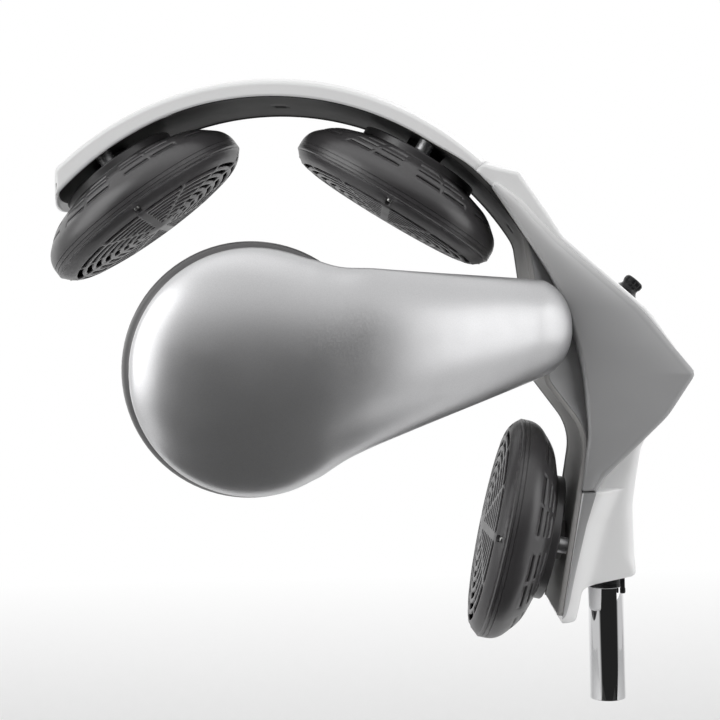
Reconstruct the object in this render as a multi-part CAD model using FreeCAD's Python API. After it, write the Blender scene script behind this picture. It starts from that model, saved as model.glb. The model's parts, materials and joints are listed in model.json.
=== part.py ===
"""Head of a salon hair colour processor: five fan heater pods on an arch and two side arms.

Frame: millimetres, +Z up, origin on the mast axis at the lower end of the mast stub.
The client sits at -X of the mast and faces -X.  The XZ plane is the plane of symmetry and
the client's left is at -Y.  Outlines in the XZ plane are lists of (x, z, corner radius).
"""
import FreeCAD, Part
import math
import os

Vector = FreeCAD.Vector

# ---------------------------------------------------------------- clearances
RUNNING = 0.08          # radial play of a shaft or pin in its bore
SEATED = 0.05           # play between pieces that are fixed together
FREE_GAP = 0.6          # gap between pieces that move past each other
BEYOND = 900.0          # reach of a cutting body that has to clear the whole head

# ---------------------------------------------------------------- mast and swivel
MAST_RADIUS = 16.0
MAST_WALL = 1.3
MAST_LENGTH = 102.0
SPIGOT_WALL = 3.2
SPIGOT_DEPTH = 58.0     # how far the spigot reaches into the mast
BUSH_HEIGHT = 10.0
BUSH_GAP = 0.3          # between the bush and the spigot that turns above it
SOCKET_WALL = 4.5
SOCKET_LENGTH = 88.0
SOCKET_LIFT = 20.0      # from the top of the mast to the foot of the socket
CLAMP_SCREW_RADIUS = 2.9
CLAMP_SCREW_Z = 134.7
CLAMP_SCREW_REACH = 40.0    # length of the clamp screw's hole from the mast axis
CLAMP_HEAD_RADIUS = 4.6
CLAMP_HEAD_HEIGHT = 2.4
CLAMP_SEAT_GAP = 0.35
TAB_AT = (13.5, -14.0)      # middle of the lock tab, beside the mast
TAB_SIZE = (5.0, 3.0, 17.7)
TAB_TOP_Z = 114.7

# ---------------------------------------------------------------- arch
ARCH_RADIUS = 257.5     # inner face of the liner
ARCH_BACK_END = (-77.13, 424.95)    # where the liner's circle ends above the hinges
ARCH_HALF_WIDTH = 60.0
LIP = 4.5               # from the inner face of the liner to the seam with the cover
LINER_WALL = 2.5
COVER_SIDE = 9.5        # height of the cover's side wall above the seam
COVER_RIDGE = 24.0      # apex of the cover's roof lines above the seam
COVER_RIDGE_ROUND = 165.0
COVER_EDGE_ROUND = 5.0
COVER_WALL = 3.0
SEAM_GAP = 0.4
ARCH_BACK_DEG = 32.0    # where the liner leaves the circle at the back
COVER_BACK_DEG = 46.0   # where the arch cover meets the rear cover
ARCH_FRONT_DEG = 142.0  # beyond the front end, which a bowed face then trims
ARCH_REACH = 192.5      # from the arch's centre forward to its front end
FRONT_BOW = 8.0
LINER_SLOT_DEGS = (33.0, 88.0)
LINER_SLOT_LENGTH = 10.0
LINER_SLOT_WIDTH = 2.4

# Inner face of the liner behind the head, from the end of the circle to the lower tip.
LINER_BACK = [(-72.9, 418.2, 28.0), (-57.0, 290.0, 12.0), (-22.7, 242.8, 48.0), (-50.5, 86.0, 0.0)]

# ---------------------------------------------------------------- rear body
REAR_TOP = [(-85.0, 477.0, 0.0), (-79.0, 484.0, 3.0), (-70.0, 481.0, 5.0), (-38.0, 419.0, 30.0)]
PANEL_END = (36.0, 352.0)
PANEL_ROUND = 60.0
BACK_TIP = (73.5, 296.0)
REAR_STEP = 5.0         # how far the rear cover starts below the arch cover's ridge
CHEEK_TOP = [(-98.0, 465.0, 0.0), (-76.0, 449.7, 60.0), (-43.0, 413.4, 60.0), (26.0, 352.8, 150.0)]
CHEEK_LOW = [(48.0, 261.0, 60.0), (-7.0, 210.0, 30.0), (-15.5, 196.0, 0.0)]
CHEEK_FRONT = [(-25.0, 196.0, 0.0), (-17.0, 244.0, 90.0), (-19.5, 300.0, 200.0), (-38.0, 372.0, 200.0)]
NECK_BACK = [(50.0, 263.0, 50.0), (30.0, 232.0, 30.0), (21.5, 180.0, 60.0), (22.5, 117.0, 5.0)]
NECK_FOOT = [(-12.0, 110.5, 6.0), (-26.5, 107.0, 8.0), (-33.0, 78.5, 4.0), (-45.0, 77.5, 3.0)]
NECK_TOP_Z = 262.0
NECK_SPLIT_Z = 212.0    # seam between the housing's two mouldings
NECK_HALF_WIDTH = 42.0
FLANGE_DEPTH = 15.0
FLANGE_TOP_Z = 194.0
FLANGE_LOW_Z = 96.0     # the flange is solid below this
FOOT_HALF_WIDTH = 53.0
TAPER_TOP_Z = 250.0
TAPER_FOOT_Z = 80.0
BODY_WALL = 3.0
CHEEK_PROUD = 5.0       # how far a cheek stands out past the arch
CHEEK_GAP = 0.4
POCKET_FLOOR = 46.5     # half width at the floor of a hinge pocket
POCKET_WALL = 2.0
POCKET_TOP_Z = 436.0
POCKET_LOW_Z = 236.0

# ---------------------------------------------------------------- pods
POD_RADIUS = 100.5
POD_SEAM_INSET = 1.3    # from the rim's radius to the seam's
POD_WALL = 2.4
POD_BAND = 17.05        # height of the corner between the rim band and the shoulder
HUB_RADIUS = 56.5
POD_DEPTH = 50.5        # from the seam to the top of the hub
SHOULDER_INSET = 19.6
SHOULDER_Z = 34.7
HUB_FOOT = 43.1
GRILLE_EDGE_INSET = 8.9
GRILLE_EDGE_Z = -9.05
GRILLE_DEPTH = 15.0
GRILLE_WALL = 2.2
GRILLE_RIM = 12.0       # plain rim outside the outer ring of slots
GRILLE_SLOT = 4.6
GRILLE_PITCH = 9.7
GRILLE_RINGS = 8
GRILLE_MAIN_RIB = 6.5
GRILLE_FINE_RIB = 2.6
VENT_ROWS = [(10.9, 1.9), (18.2, 2.1), (28.3, 2.3)]     # inset from the rim's radius, width
VENT_GROUPS = 8
VENT_SPAN_DEG = 17.3
VENT_BRIDGE_DEG = 1.1
SCREW_INSET = 7.2       # from the pod's radius in to its grille screws
SCREW_RADIUS = 1.5
SCREW_HEAD_RADIUS = 2.8
SCREW_BOSS_RADIUS = 4.4
SCREW_LENGTH = 13.0
SCREW_HEAD_Z = -5.0
SCREW_HEAD_HEIGHT = 2.0
SCREW_HEAD_PLAY = 0.3
HUB_CABLE_HOLE = 9.0
MOTOR_RADIUS = 21.0
MOTOR_LENGTH = 15.0
MOTOR_SHAFT_RADIUS = 2.0
MOTOR_SHAFT_LENGTH = 9.5
FAN_RADIUS = 52.0
FAN_HUB_RADIUS = 14.0
FAN_HEIGHT = 11.0
FAN_MOTOR_GAP = 1.0
FAN_BLADES = 7
FAN_BLADE_PITCH_DEG = 32.0
FAN_BLADE_CHORD = 15.0
FAN_BLADE_THICKNESS = 1.4
REFLECTOR_MOUTH = 60.0
REFLECTOR_RISE = 15.0
REFLECTOR_RIM_Z = 13.0
REFLECTOR_RIM_GAP = 1.1
REFLECTOR_SHEET = 0.8
COIL_INSETS = (26.5, 44.5, 62.5)    # from the pod's radius to each heating coil's
COIL_WIRE_RADIUS = 2.6
COIL_Z = 6.0
COIL_CARD_HEIGHT = 10.0
COIL_CARD_GAP = 0.4
COIL_CARD_THICKNESS = 1.2

POST_RADIUS = 7.25
POST_SPREAD = 40.0      # each side of the pod's axis
POST_LENGTH = 16.0
DUCT_RADIUS = 18.0
DUCT_REACH = 40.0       # more than the gap that a duct bridges

CROWN_DEG = 56.6        # polar angle of the pod about the arch centre, and where its back points
CROWN_AIM_DEG = 57.9
FRONT_DEG = 124.3
FRONT_AIM_DEG = 125.5
NAPE_SEAT = (-32.6, 143.3)
NAPE_AIM_DEG = -13.3

# ---------------------------------------------------------------- spine
SPINE_GAP = 6.0         # from the inner face of the liner to the spine bar
SPINE_THICKNESS = 4.0
SPINE_HALF_WIDTH = 18.0
SPINE_FRONT_DEG = 128.0
SPINE_BACK_DEG = 20.0
PAD_HALF_LENGTH = 50.0
PAD_HALF_WIDTH = 12.0

# ---------------------------------------------------------------- side arms (left one at -Y)
HINGE_X = -50.0
HINGE_Y = 68.0
HINGE_Z = 338.0
PIN_RADIUS = 3.5
KNUCKLE_RADIUS = 7.0
KNUCKLE_HEIGHT = 12.5
LUG_HALF_HEIGHT = 13.0
LUG_THICKNESS = 10.0
SIDE_POD = (-301.4, 188.0, 311.0)
SIDE_POD_YAW_DEG = 12.0
SIDE_POD_PITCH_DEG = -4.0
BOWL_INSET = 7.5        # from the pod's radius in to the edge of the arm's wide end
BOWL_EDGE = 27.2        # height of that edge above the pod's seam
BOWL_SIDE = 38.0        # height of the corner between the bowl's side and its shoulder
BOWL_SHOULDER_INSET = 33.0
BOWL_SHOULDER_Z = 59.0
BOWL_DEPTH = 63.0
ARM_WALL = 2.6
STRAP_THICKNESS = 3.0
STRAP_HALF_HEIGHT = 17.0
# Stations of the arm's neck: x, half height, distance of the edge and of the crest from the XZ plane.
ARM_STATIONS = [
    (-34.0, 9.0, 67.5, 74.0),
    (-37.5, 24.0, 67.5, 80.0),
    (-44.0, 34.5, 67.5, 87.0),
    (-57.0, 41.5, 68.5, 95.0),
    (-80.0, 46.0, 87.0, 114.0),
    (-117.0, 53.0, 118.0, 150.0),
    (-160.0, 61.0, 156.0, 187.0),
    (-200.0, 69.0, 190.0, 216.0),
    (-232.0, 75.0, 200.0, 230.0),
    (-262.0, 78.0, 206.0, 236.0),
]
ARM_CENTRE_Z = 338.5    # height of the arm's middle at the hinge
ARM_DROP = 0.137        # fall of that middle per millimetre towards the pod
ARM_ROOT_X = -57.0      # the drop starts here
ARM_COVER_START_X = -63.0
ARM_COVER_END_X = -215.0
ARM_COVER_THICKNESS = 2.5
ARM_COVER_GAP = 1.6
ARM_POD_GAP = 1.5
# Middle line of the steel strap in plan, as x and distance from the XZ plane.
STRAP_ROOT = [(-51.0, 73.0, 0.0), (-62.0, 86.0, 10.0), (-76.0, 98.0, 0.0)]
STRAP_LINE = [(-62.0, 86.0, 0.0), (-117.0, 133.5, 60.0), (-200.0, 203.5, 30.0), (-243.0, 229.0, 0.0)]
STRAP_SLOPE_DEG = 6.7
STRAP_DISC_RADIUS = 50.0

# ---------------------------------------------------------------- control panel
DISPLAY_AT = 37.0       # distances down the panel from its upper corner
KNOB_AT = 79.4
DISPLAY_SIZE = (50.0, 26.0)
LENS_THICKNESS = 2.0
BOARD_DROP = 9.0
BOARD_SIZE = (98.0, 60.0, 1.6)
BOARD_CENTRE = 52.0
STANDOFF_RADIUS = 3.0
STANDOFF_INSET = 5.0    # from the board's edges to a standoff's axis
ENCODER_SIZE = 13.0
BUSHING_RADIUS = 4.6
BUSHING_RISE = 0.8
KNOB_SHAFT_RADIUS = 3.0
KNOB_HEIGHT = 19.5
KNOB_LIFT = 1.7         # from the panel to the knob's skirt, released
KNOB_TRAVEL = 1.2
KNOB_CAP = 5.0          # solid end of the knob beyond its shaft
KNOB_SKIRT_RADIUS = 13.0
KNOB_WAIST_RADIUS = 6.3
KNOB_HEAD_RADIUS = 8.2

# ---------------------------------------------------------------- values worked out from those
ARCH_X = ARCH_BACK_END[0] - ARCH_RADIUS * math.cos(math.radians(ARCH_BACK_DEG))
ARCH_Z = ARCH_BACK_END[1] - ARCH_RADIUS * math.sin(math.radians(ARCH_BACK_DEG))
FRONT_X = ARCH_X - ARCH_REACH
SEAM_RADIUS = ARCH_RADIUS + LIP
SPINE_RADIUS = ARCH_RADIUS + SPINE_GAP
POD_RING_RADIUS = SPINE_RADIUS - POD_DEPTH - POST_LENGTH
POD_SEAM_RADIUS = POD_RADIUS - POD_SEAM_INSET
SHOULDER_RADIUS = POD_RADIUS - SHOULDER_INSET
GRILLE_EDGE_RADIUS = POD_RADIUS - GRILLE_EDGE_INSET
GRILLE_OUTER_SLOT = POD_RADIUS - GRILLE_RIM
SCREW_RING = POD_RADIUS - SCREW_INSET
BOWL_RADIUS = POD_RADIUS - BOWL_INSET
BOWL_SHOULDER_RADIUS = BOWL_RADIUS - BOWL_SHOULDER_INSET
SPIGOT_RADIUS = MAST_RADIUS - MAST_WALL - RUNNING
SOCKET_RADIUS = SPIGOT_RADIUS + SEATED
SOCKET_FOOT = MAST_LENGTH + SOCKET_LIFT
SOCKET_TOP = SOCKET_FOOT + SOCKET_LENGTH
SPINE_MID_RADIUS = SPINE_RADIUS + SPINE_THICKNESS / 2
ENCODER_FLOOR = 1.0 - BOARD_DROP


# ================================================================ geometry helpers
def at_angle(radius, degrees, centre_x=ARCH_X, centre_z=ARCH_Z):
    """Point of the XZ plane at a polar angle about the arch centre."""
    turn = math.radians(degrees)
    return centre_x + radius * math.cos(turn), centre_z + radius * math.sin(turn)


def xz(point):
    """The XZ point as a vector."""
    return Vector(point[0], 0, point[1])


def rounded_edges(points):
    """Edges of an open path of (x, z, radius) corners, each corner rounded by a tangent arc."""
    edges = []
    start = xz(points[0])
    for before, corner, after in zip(points, points[1:], points[2:]):
        radius = corner[2]
        middle = xz(corner)
        into = (middle - xz(before)).normalize()
        away = (xz(after) - middle).normalize()
        turn = into.getAngle(away)
        if radius > 0 and turn > 1e-4:
            setback = radius * math.tan(turn / 2)
            arc_start = middle - into * setback
            arc_end = middle + away * setback
            bisector = (away - into).normalize()
            arc_middle = middle + bisector * (radius / math.cos(turn / 2) - radius)
        else:
            arc_start = middle
            arc_end = middle
            arc_middle = None
        if start.distanceToPoint(arc_start) > 1e-6:
            edges.append(Part.makeLine(start, arc_start))
        if arc_middle is not None:
            edges.append(Part.Arc(arc_start, arc_middle, arc_end).toShape())
        start = arc_end
    edges.append(Part.makeLine(start, xz(points[-1])))
    return edges


def closed_face(points):
    """Face of a closed outline whose first corner is sharp."""
    edges = rounded_edges(points + [(points[0][0], points[0][1], 0.0)])
    return Part.Face(Part.Wire(edges))


def parallel(points, distance):
    """The path moved sideways by distance, to the left of its direction in XZ seen from -Y."""
    lines = []
    for first, second in zip(points, points[1:]):
        along = (xz(second) - xz(first)).normalize()
        side = Vector(-along.z, 0, along.x) * distance
        lines.append((xz(first) + side, along))
    moved = [lines[0][0]]
    for (base, along), (next_base, next_along) in zip(lines, lines[1:]):
        cross = along.x * next_along.z - along.z * next_along.x
        between = next_base - base
        reach = (between.x * next_along.z - between.z * next_along.x) / cross
        moved.append(base + along * reach)
    moved.append(xz(points[-1]) + Vector(-lines[-1][1].z, 0, lines[-1][1].x) * distance)
    result = []
    for index, place in enumerate(moved):
        radius = points[index][2]
        if radius > 0 and 0 < index < len(points) - 1:
            into = xz(points[index]) - xz(points[index - 1])
            away = xz(points[index + 1]) - xz(points[index])
            left_turn = into.x * away.z - into.z * away.x > 0
            radius = max(0.1, radius - distance if left_turn else radius + distance)
        result.append((place.x, place.z, radius))
    return result


def slab(face, low_y, high_y):
    """An XZ face extruded from low_y to high_y."""
    moved = face.copy()
    moved.translate(Vector(0, low_y, 0))
    return moved.extrude(Vector(0, high_y - low_y, 0))


def both_sides(face, half_width):
    """An XZ face extruded equally to both sides of the XZ plane."""
    return slab(face, -half_width, half_width)


def turned(points):
    """Solid of revolution about Z of an outline of (r, z, corner radius)."""
    return closed_face(points).revolve(Vector(0, 0, 0), Vector(0, 0, 1), 360)


def rod(radius, start, end):
    """Cylinder from one point to another."""
    along = end - start
    return Part.makeCylinder(radius, along.Length, start, along)


def tube(outer, inner, low_z, high_z):
    """Hollow cylinder about Z."""
    body = Part.makeCylinder(outer, high_z - low_z, Vector(0, 0, low_z))
    return body.cut(Part.makeCylinder(inner, high_z - low_z, Vector(0, 0, low_z)))


def block(low, high):
    """Box between two corners."""
    return Part.makeBox(high[0] - low[0], high[1] - low[1], high[2] - low[2], Vector(*low))


def fused(shapes):
    """One solid out of overlapping ones."""
    return shapes[0].multiFuse(shapes[1:]).removeSplitter()


def frame_of(origin, along_z, along_x):
    """Placement whose Z axis points along_z and whose X axis lies as near along_x as it can."""
    z_axis = Vector(along_z).normalize()
    y_axis = z_axis.cross(along_x).normalize()
    x_axis = y_axis.cross(z_axis)
    matrix = FreeCAD.Matrix(
        x_axis.x, y_axis.x, z_axis.x, origin.x,
        x_axis.y, y_axis.y, z_axis.y, origin.y,
        x_axis.z, y_axis.z, z_axis.z, origin.z,
        0, 0, 0, 1)
    return FreeCAD.Placement(matrix)


def placed(shape, placement):
    """A copy of the shape, moved."""
    moved = shape.copy()
    moved.Placement = placement.multiply(moved.Placement)
    return moved


def mirrored(shape):
    """The shape on the other side of the XZ plane."""
    return shape.mirror(Vector(0, 0, 0), Vector(0, 1, 0))


def save(name, shape):
    """Write one node."""
    shape.exportStep("parts/" + name + ".step")


# ================================================================ where the pods sit
def aim(degrees):
    """Unit vector of the XZ plane."""
    return Vector(math.cos(math.radians(degrees)), 0, math.sin(math.radians(degrees)))


def ring_pod(degrees, aim_degrees):
    """Frame of a pod under the arch: origin at the middle of its seam, Z to its back."""
    return frame_of(xz(at_angle(POD_RING_RADIUS, degrees)), aim(aim_degrees), Vector(0, -1, 0))


def nape_pod():
    """Frame of the pod behind the neck, hung from its seat on the spine."""
    back = aim(NAPE_AIM_DEG)
    return frame_of(xz(NAPE_SEAT) - back * (POD_DEPTH + POST_LENGTH), back, Vector(0, -1, 0))


def left_pod():
    """Frame of the pod in the left arm."""
    yaw = math.radians(SIDE_POD_YAW_DEG)
    pitch = math.radians(SIDE_POD_PITCH_DEG)
    level = math.cos(pitch)
    back = Vector(math.sin(yaw) * level, -math.cos(yaw) * level, math.sin(pitch))
    return frame_of(Vector(SIDE_POD[0], -SIDE_POD[1], SIDE_POD[2]), back, Vector(0, 0, 1))


HEAD_PODS = {
    "front": ring_pod(FRONT_DEG, FRONT_AIM_DEG),
    "crown": ring_pod(CROWN_DEG, CROWN_AIM_DEG),
    "nape": nape_pod(),
}
LEFT_POD = left_pod()


# ================================================================ pod pieces, in the pod's frame
def pod_profile():
    """Outer line of the back shell from the seam to the hub's top, as (r, z, radius)."""
    return [
        (POD_SEAM_RADIUS, 0.0, 0.0),
        (POD_RADIUS, 1.3, 0.0),
        (POD_RADIUS, POD_BAND, 20.0),
        (SHOULDER_RADIUS, SHOULDER_Z, 40.0),
        (HUB_RADIUS, HUB_FOOT, 1.0),
        (HUB_RADIUS, POD_DEPTH, 1.5),
        (0.0, POD_DEPTH, 0.0),
    ]


def pod_cavity():
    """Solid that fills the inside of the back shell, running out below the seam."""
    inner_hub = HUB_RADIUS - POD_WALL
    inner_top = POD_DEPTH - POD_WALL
    return turned([
        (0.0, -1.0, 0.0),
        (POD_RADIUS - POD_WALL, -1.0, 0.0),
        (POD_RADIUS - POD_WALL, POD_BAND - POD_WALL / 2, 18.0),
        (SHOULDER_RADIUS - POD_WALL / 2, SHOULDER_Z - POD_WALL, 38.0),
        (inner_hub, HUB_FOOT - POD_WALL, 1.0),
        (inner_hub, inner_top, 1.0),
        (0.0, inner_top, 0.0),
    ])


def screw_places():
    """Angles of the grille screws, at the ends of the main ribs."""
    return [90.0 * index for index in range(4)]


def ring_point(radius, degrees, height):
    """Point at a polar angle about the pod's axis."""
    turn = math.radians(degrees)
    return Vector(radius * math.cos(turn), radius * math.sin(turn), height)


def ring_rods(radius, low, high):
    """A rod of a radius at each screw's place, between two heights."""
    return [rod(radius, ring_point(SCREW_RING, turn, low), ring_point(SCREW_RING, turn, high))
            for turn in screw_places()]


def sector(radius, width, low_z, high_z, start_deg, sweep_deg):
    """Part of a ring wall about the pod's axis."""
    height = high_z - low_z
    base = Vector(0, 0, low_z)
    up = Vector(0, 0, 1)
    outer = Part.makeCylinder(radius + width / 2, height, base, up, sweep_deg)
    inner = Part.makeCylinder(radius - width / 2, height, base, up, sweep_deg)
    wall = outer.cut(inner)
    wall.rotate(Vector(0, 0, 0), up, start_deg)
    return wall


def make_back_shell():
    """Pod shell with three rows of vent slits in eight groups and four screw bosses."""
    skin = turned(pod_profile() + [(0.0, 0.0, 0.0)])
    cavity = pod_cavity()
    bosses = ring_rods(SCREW_BOSS_RADIUS, 0.0, POD_DEPTH)
    holes = ring_rods(SCREW_RADIUS, -1.0, SCREW_LENGTH)
    shell = skin.cut(cavity)
    shell = fused([shell] + [boss.common(skin) for boss in bosses])
    cuts = holes + [rod(HUB_CABLE_HOLE, Vector(0, 0, POD_DEPTH - 10), Vector(0, 0, POD_DEPTH + 1))]
    step = 360.0 / VENT_GROUPS
    half = VENT_SPAN_DEG - VENT_BRIDGE_DEG
    for group in range(VENT_GROUPS):
        middle = step * (group + 0.5)
        for row_inset, width in VENT_ROWS:
            radius = POD_RADIUS - row_inset
            cuts.append(sector(radius, width, 20.0, POD_DEPTH, middle - VENT_SPAN_DEG, half))
            cuts.append(sector(radius, width, 20.0, POD_DEPTH, middle + VENT_BRIDGE_DEG, half))
    return shell.cut(Part.makeCompound(cuts))


def make_grille():
    """Domed grille: eight rings of slots crossed by four main ribs and eight fine ones."""
    dome = turned([
        (0.0, 0.0, 0.0),
        (POD_SEAM_RADIUS, 0.0, 0.0),
        (GRILLE_EDGE_RADIUS, GRILLE_EDGE_Z, 20.0),
        (0.0, -GRILLE_DEPTH, 0.0),
    ])
    hollow = turned([
        (0.0, 1.0, 0.0),
        (POD_SEAM_RADIUS - GRILLE_WALL, 1.0, 0.0),
        (POD_SEAM_RADIUS - GRILLE_WALL, 0.0, 0.0),
        (GRILLE_EDGE_RADIUS - GRILLE_WALL / 2, GRILLE_EDGE_Z + GRILLE_WALL, 18.0),
        (0.0, -GRILLE_DEPTH + GRILLE_WALL, 0.0),
    ])
    bosses = ring_rods(SCREW_BOSS_RADIUS, -GRILLE_DEPTH, 0.0)
    skin = fused([dome.cut(hollow)] + [boss.common(dome) for boss in bosses])
    rings = []
    for index in range(GRILLE_RINGS):
        outer = GRILLE_OUTER_SLOT - index * GRILLE_PITCH
        rings.append(tube(outer, outer - GRILLE_SLOT, -GRILLE_DEPTH - 1, -1.0))
    ribs = []
    for index in range(6):
        width = GRILLE_MAIN_RIB if index % 3 == 0 else GRILLE_FINE_RIB
        rib = block((-POD_RADIUS, -width / 2, -GRILLE_DEPTH - 2), (POD_RADIUS, width / 2, 0.0))
        rib.rotate(Vector(0, 0, 0), Vector(0, 0, 1), 30.0 * index)
        ribs.append(rib)
    slots = Part.makeCompound(rings).cut(ribs)
    shanks = ring_rods(SCREW_RADIUS + SEATED, -GRILLE_DEPTH, 1.0)
    heads = ring_rods(SCREW_HEAD_RADIUS + SCREW_HEAD_PLAY, -GRILLE_DEPTH, SCREW_HEAD_Z + SCREW_HEAD_HEIGHT)
    return skin.cut(Part.makeCompound([slots] + shanks + heads))


def make_grille_screws():
    """The four screws of one grille."""
    head_foot = SCREW_HEAD_Z + SCREW_HEAD_HEIGHT
    heads = ring_rods(SCREW_HEAD_RADIUS, SCREW_HEAD_Z, head_foot)
    shanks = ring_rods(SCREW_RADIUS - SEATED, head_foot, SCREW_LENGTH - 1.0)
    return [fused([head, shank]) for head, shank in zip(heads, shanks)]


def make_heater():
    """Three heating coils threaded through a cross of mica cards."""
    reach = POD_RADIUS - POD_WALL - COIL_CARD_GAP
    foot = COIL_Z - COIL_CARD_HEIGHT / 2
    half = COIL_CARD_THICKNESS / 2
    card = block((-reach, -half, foot), (reach, half, foot + COIL_CARD_HEIGHT))
    cards = []
    for turn in (45.0, 135.0):
        turned_card = card.copy()
        turned_card.rotate(Vector(0, 0, 0), Vector(0, 0, 1), turn)
        cards.append(turned_card)
    round_wall = Part.makeCylinder(reach, 4 * COIL_CARD_HEIGHT, Vector(0, 0, -COIL_CARD_HEIGHT))
    cross = fused(cards).common(round_wall)
    middle = Vector(0, 0, COIL_Z)
    up = Vector(0, 0, 1)
    coil_radii = [POD_RADIUS - coil_inset for coil_inset in COIL_INSETS]
    coils = [Part.makeTorus(radius, COIL_WIRE_RADIUS, middle, up) for radius in coil_radii]
    sleeves = [Part.makeTorus(radius, COIL_WIRE_RADIUS + SEATED, middle, up) for radius in coil_radii]
    return [cross.cut(Part.makeCompound(sleeves))] + coils


def make_reflector():
    """Bright sheet ring that leads the fan's air past the coils and shades the plastic shell."""
    rim = POD_RADIUS - POD_WALL - REFLECTOR_RIM_GAP
    mouth_z = REFLECTOR_RIM_Z + REFLECTOR_RISE
    ring = turned([
        (rim, REFLECTOR_RIM_Z - REFLECTOR_SHEET, 0.0),
        (rim, REFLECTOR_RIM_Z, 0.0),
        (REFLECTOR_MOUTH, mouth_z, 0.0),
        (REFLECTOR_MOUTH, mouth_z - REFLECTOR_SHEET, 0.0),
    ])
    notches = ring_rods(SCREW_BOSS_RADIUS + SCREW_HEAD_PLAY, 0.0, POD_DEPTH)
    return ring.cut(Part.makeCompound(notches))


def fan_levels():
    """Heights of the motor's foot and front, the shaft's end and the fan's two faces."""
    motor_foot = POD_DEPTH - POD_WALL
    motor_front = motor_foot - MOTOR_LENGTH
    shaft_end = motor_front - MOTOR_SHAFT_LENGTH
    fan_back = motor_front - FAN_MOTOR_GAP
    return motor_foot, motor_front, shaft_end, fan_back, fan_back - FAN_HEIGHT


def make_motor():
    """Fan motor, seated inside the top of the hub."""
    foot, front, shaft_end, _, _ = fan_levels()
    can = Part.makeCylinder(MOTOR_RADIUS, foot - front, Vector(0, 0, front))
    shaft = Part.makeCylinder(MOTOR_SHAFT_RADIUS, front - shaft_end, Vector(0, 0, shaft_end))
    bearing = Part.makeCylinder(3 * MOTOR_SHAFT_RADIUS, 0.5, Vector(0, 0, front - 0.5))
    return fused([can, bearing, shaft])


def make_fan():
    """Axial fan wheel with a blind bore on the motor shaft."""
    _, _, shaft_end, back, front = fan_levels()
    hub = Part.makeCylinder(FAN_HUB_RADIUS, back - front, Vector(0, 0, front))
    middle = (back + front) / 2
    blades = []
    for index in range(FAN_BLADES):
        blade = block((FAN_HUB_RADIUS - 2, -FAN_BLADE_CHORD / 2, -FAN_BLADE_THICKNESS / 2),
                      (FAN_RADIUS, FAN_BLADE_CHORD / 2, FAN_BLADE_THICKNESS / 2))
        blade.rotate(Vector(0, 0, 0), Vector(1, 0, 0), FAN_BLADE_PITCH_DEG)
        blade.translate(Vector(0, 0, middle))
        blade.rotate(Vector(0, 0, 0), Vector(0, 0, 1), 360.0 / FAN_BLADES * index)
        blades.append(blade)
    bore_end = shaft_end - 0.4
    bore = Part.makeCylinder(MOTOR_SHAFT_RADIUS + RUNNING, back - bore_end, Vector(0, 0, bore_end))
    return fused([hub] + blades).cut(bore)


def pod_pieces():
    """All pieces of one pod by name, in the pod's frame."""
    return {
        "pod_shell": make_back_shell(),
        "grille": make_grille(),
        "heater": Part.makeCompound(make_heater()),
        "reflector": make_reflector(),
        "fan_motor": make_motor(),
        "fan": make_fan(),
    }


# ================================================================ arch
def liner_back():
    """Inner line of the liner behind the head, from where it leaves the circle."""
    leave = at_angle(ARCH_RADIUS, ARCH_BACK_DEG)
    return [(leave[0], leave[1], 0.0)] + LINER_BACK


def arch_arc(radius, start_deg, end_deg):
    """Arc about the arch centre, from one polar angle to another."""
    middle = (start_deg + end_deg) / 2
    points = [xz(at_angle(radius, turn)) for turn in (start_deg, middle, end_deg)]
    return Part.Arc(*points).toShape()


def liner_line(offset):
    """Edges parallel to the inner face of the liner, from the front to the lower tip."""
    arc = arch_arc(ARCH_RADIUS + offset, ARCH_FRONT_DEG, ARCH_BACK_DEG)
    back = parallel(liner_back(), offset)
    arc_end = at_angle(ARCH_RADIUS + offset, ARCH_BACK_DEG)
    back[0] = (arc_end[0], arc_end[1], 0.0)
    return [arc] + rounded_edges(back)


def liner_band(low, high):
    """Face between two lines parallel to the inner face of the liner."""
    inner = liner_line(low)
    outer = liner_line(high)
    ends = [Part.makeLine(inner[0].Vertexes[0].Point, outer[0].Vertexes[0].Point),
            Part.makeLine(inner[-1].Vertexes[-1].Point, outer[-1].Vertexes[-1].Point)]
    edges = Part.__sortEdges__(inner + outer + ends)
    return Part.Face(Part.Wire(edges))


def front_trim(inset):
    """Everything behind the bowed front face of the arch, moved back by inset."""
    half = ARCH_HALF_WIDTH + 20
    bow = FRONT_BOW * (half / ARCH_HALF_WIDTH) ** 2
    tip = Vector(FRONT_X + inset, 0, 0)
    left = Vector(FRONT_X + inset + bow, -half, 0)
    right = Vector(FRONT_X + inset + bow, half, 0)
    far_left = Vector(BEYOND, -half, 0)
    far_right = Vector(BEYOND, half, 0)
    wire = Part.Wire([
        Part.Arc(left, tip, right).toShape(),
        Part.makeLine(right, far_right),
        Part.makeLine(far_right, far_left),
        Part.makeLine(far_left, left)])
    return Part.Face(wire).extrude(Vector(0, 0, BEYOND))


def taper_prism(grow):
    """Space between the body's two sides, which close in towards the lower tip."""
    top = ARCH_HALF_WIDTH + grow
    foot = FOOT_HALF_WIDTH + grow
    slope = (top - foot) / (TAPER_TOP_Z - TAPER_FOOT_Z)
    low = foot - slope * TAPER_FOOT_Z
    right = [(low, 0), (top, TAPER_TOP_Z), (top, BEYOND)]
    left = [(-across, up) for across, up in reversed(right)]
    wire = Part.makePolygon([Vector(-BEYOND, across, up) for across, up in left + right + left[:1]])
    return Part.Face(wire).extrude(Vector(2 * BEYOND, 0, 0))


def post_bores(grow):
    """Rods along the pods' mounting posts, wider than a post by grow."""
    top = POD_DEPTH + POST_LENGTH
    bores = []
    for frame in HEAD_PODS.values():
        for side in (-POST_SPREAD, POST_SPREAD):
            bore = rod(POST_RADIUS + grow, Vector(side, 0, POD_DEPTH), Vector(side, 0, top))
            bores.append(placed(bore, frame))
    return bores


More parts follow.
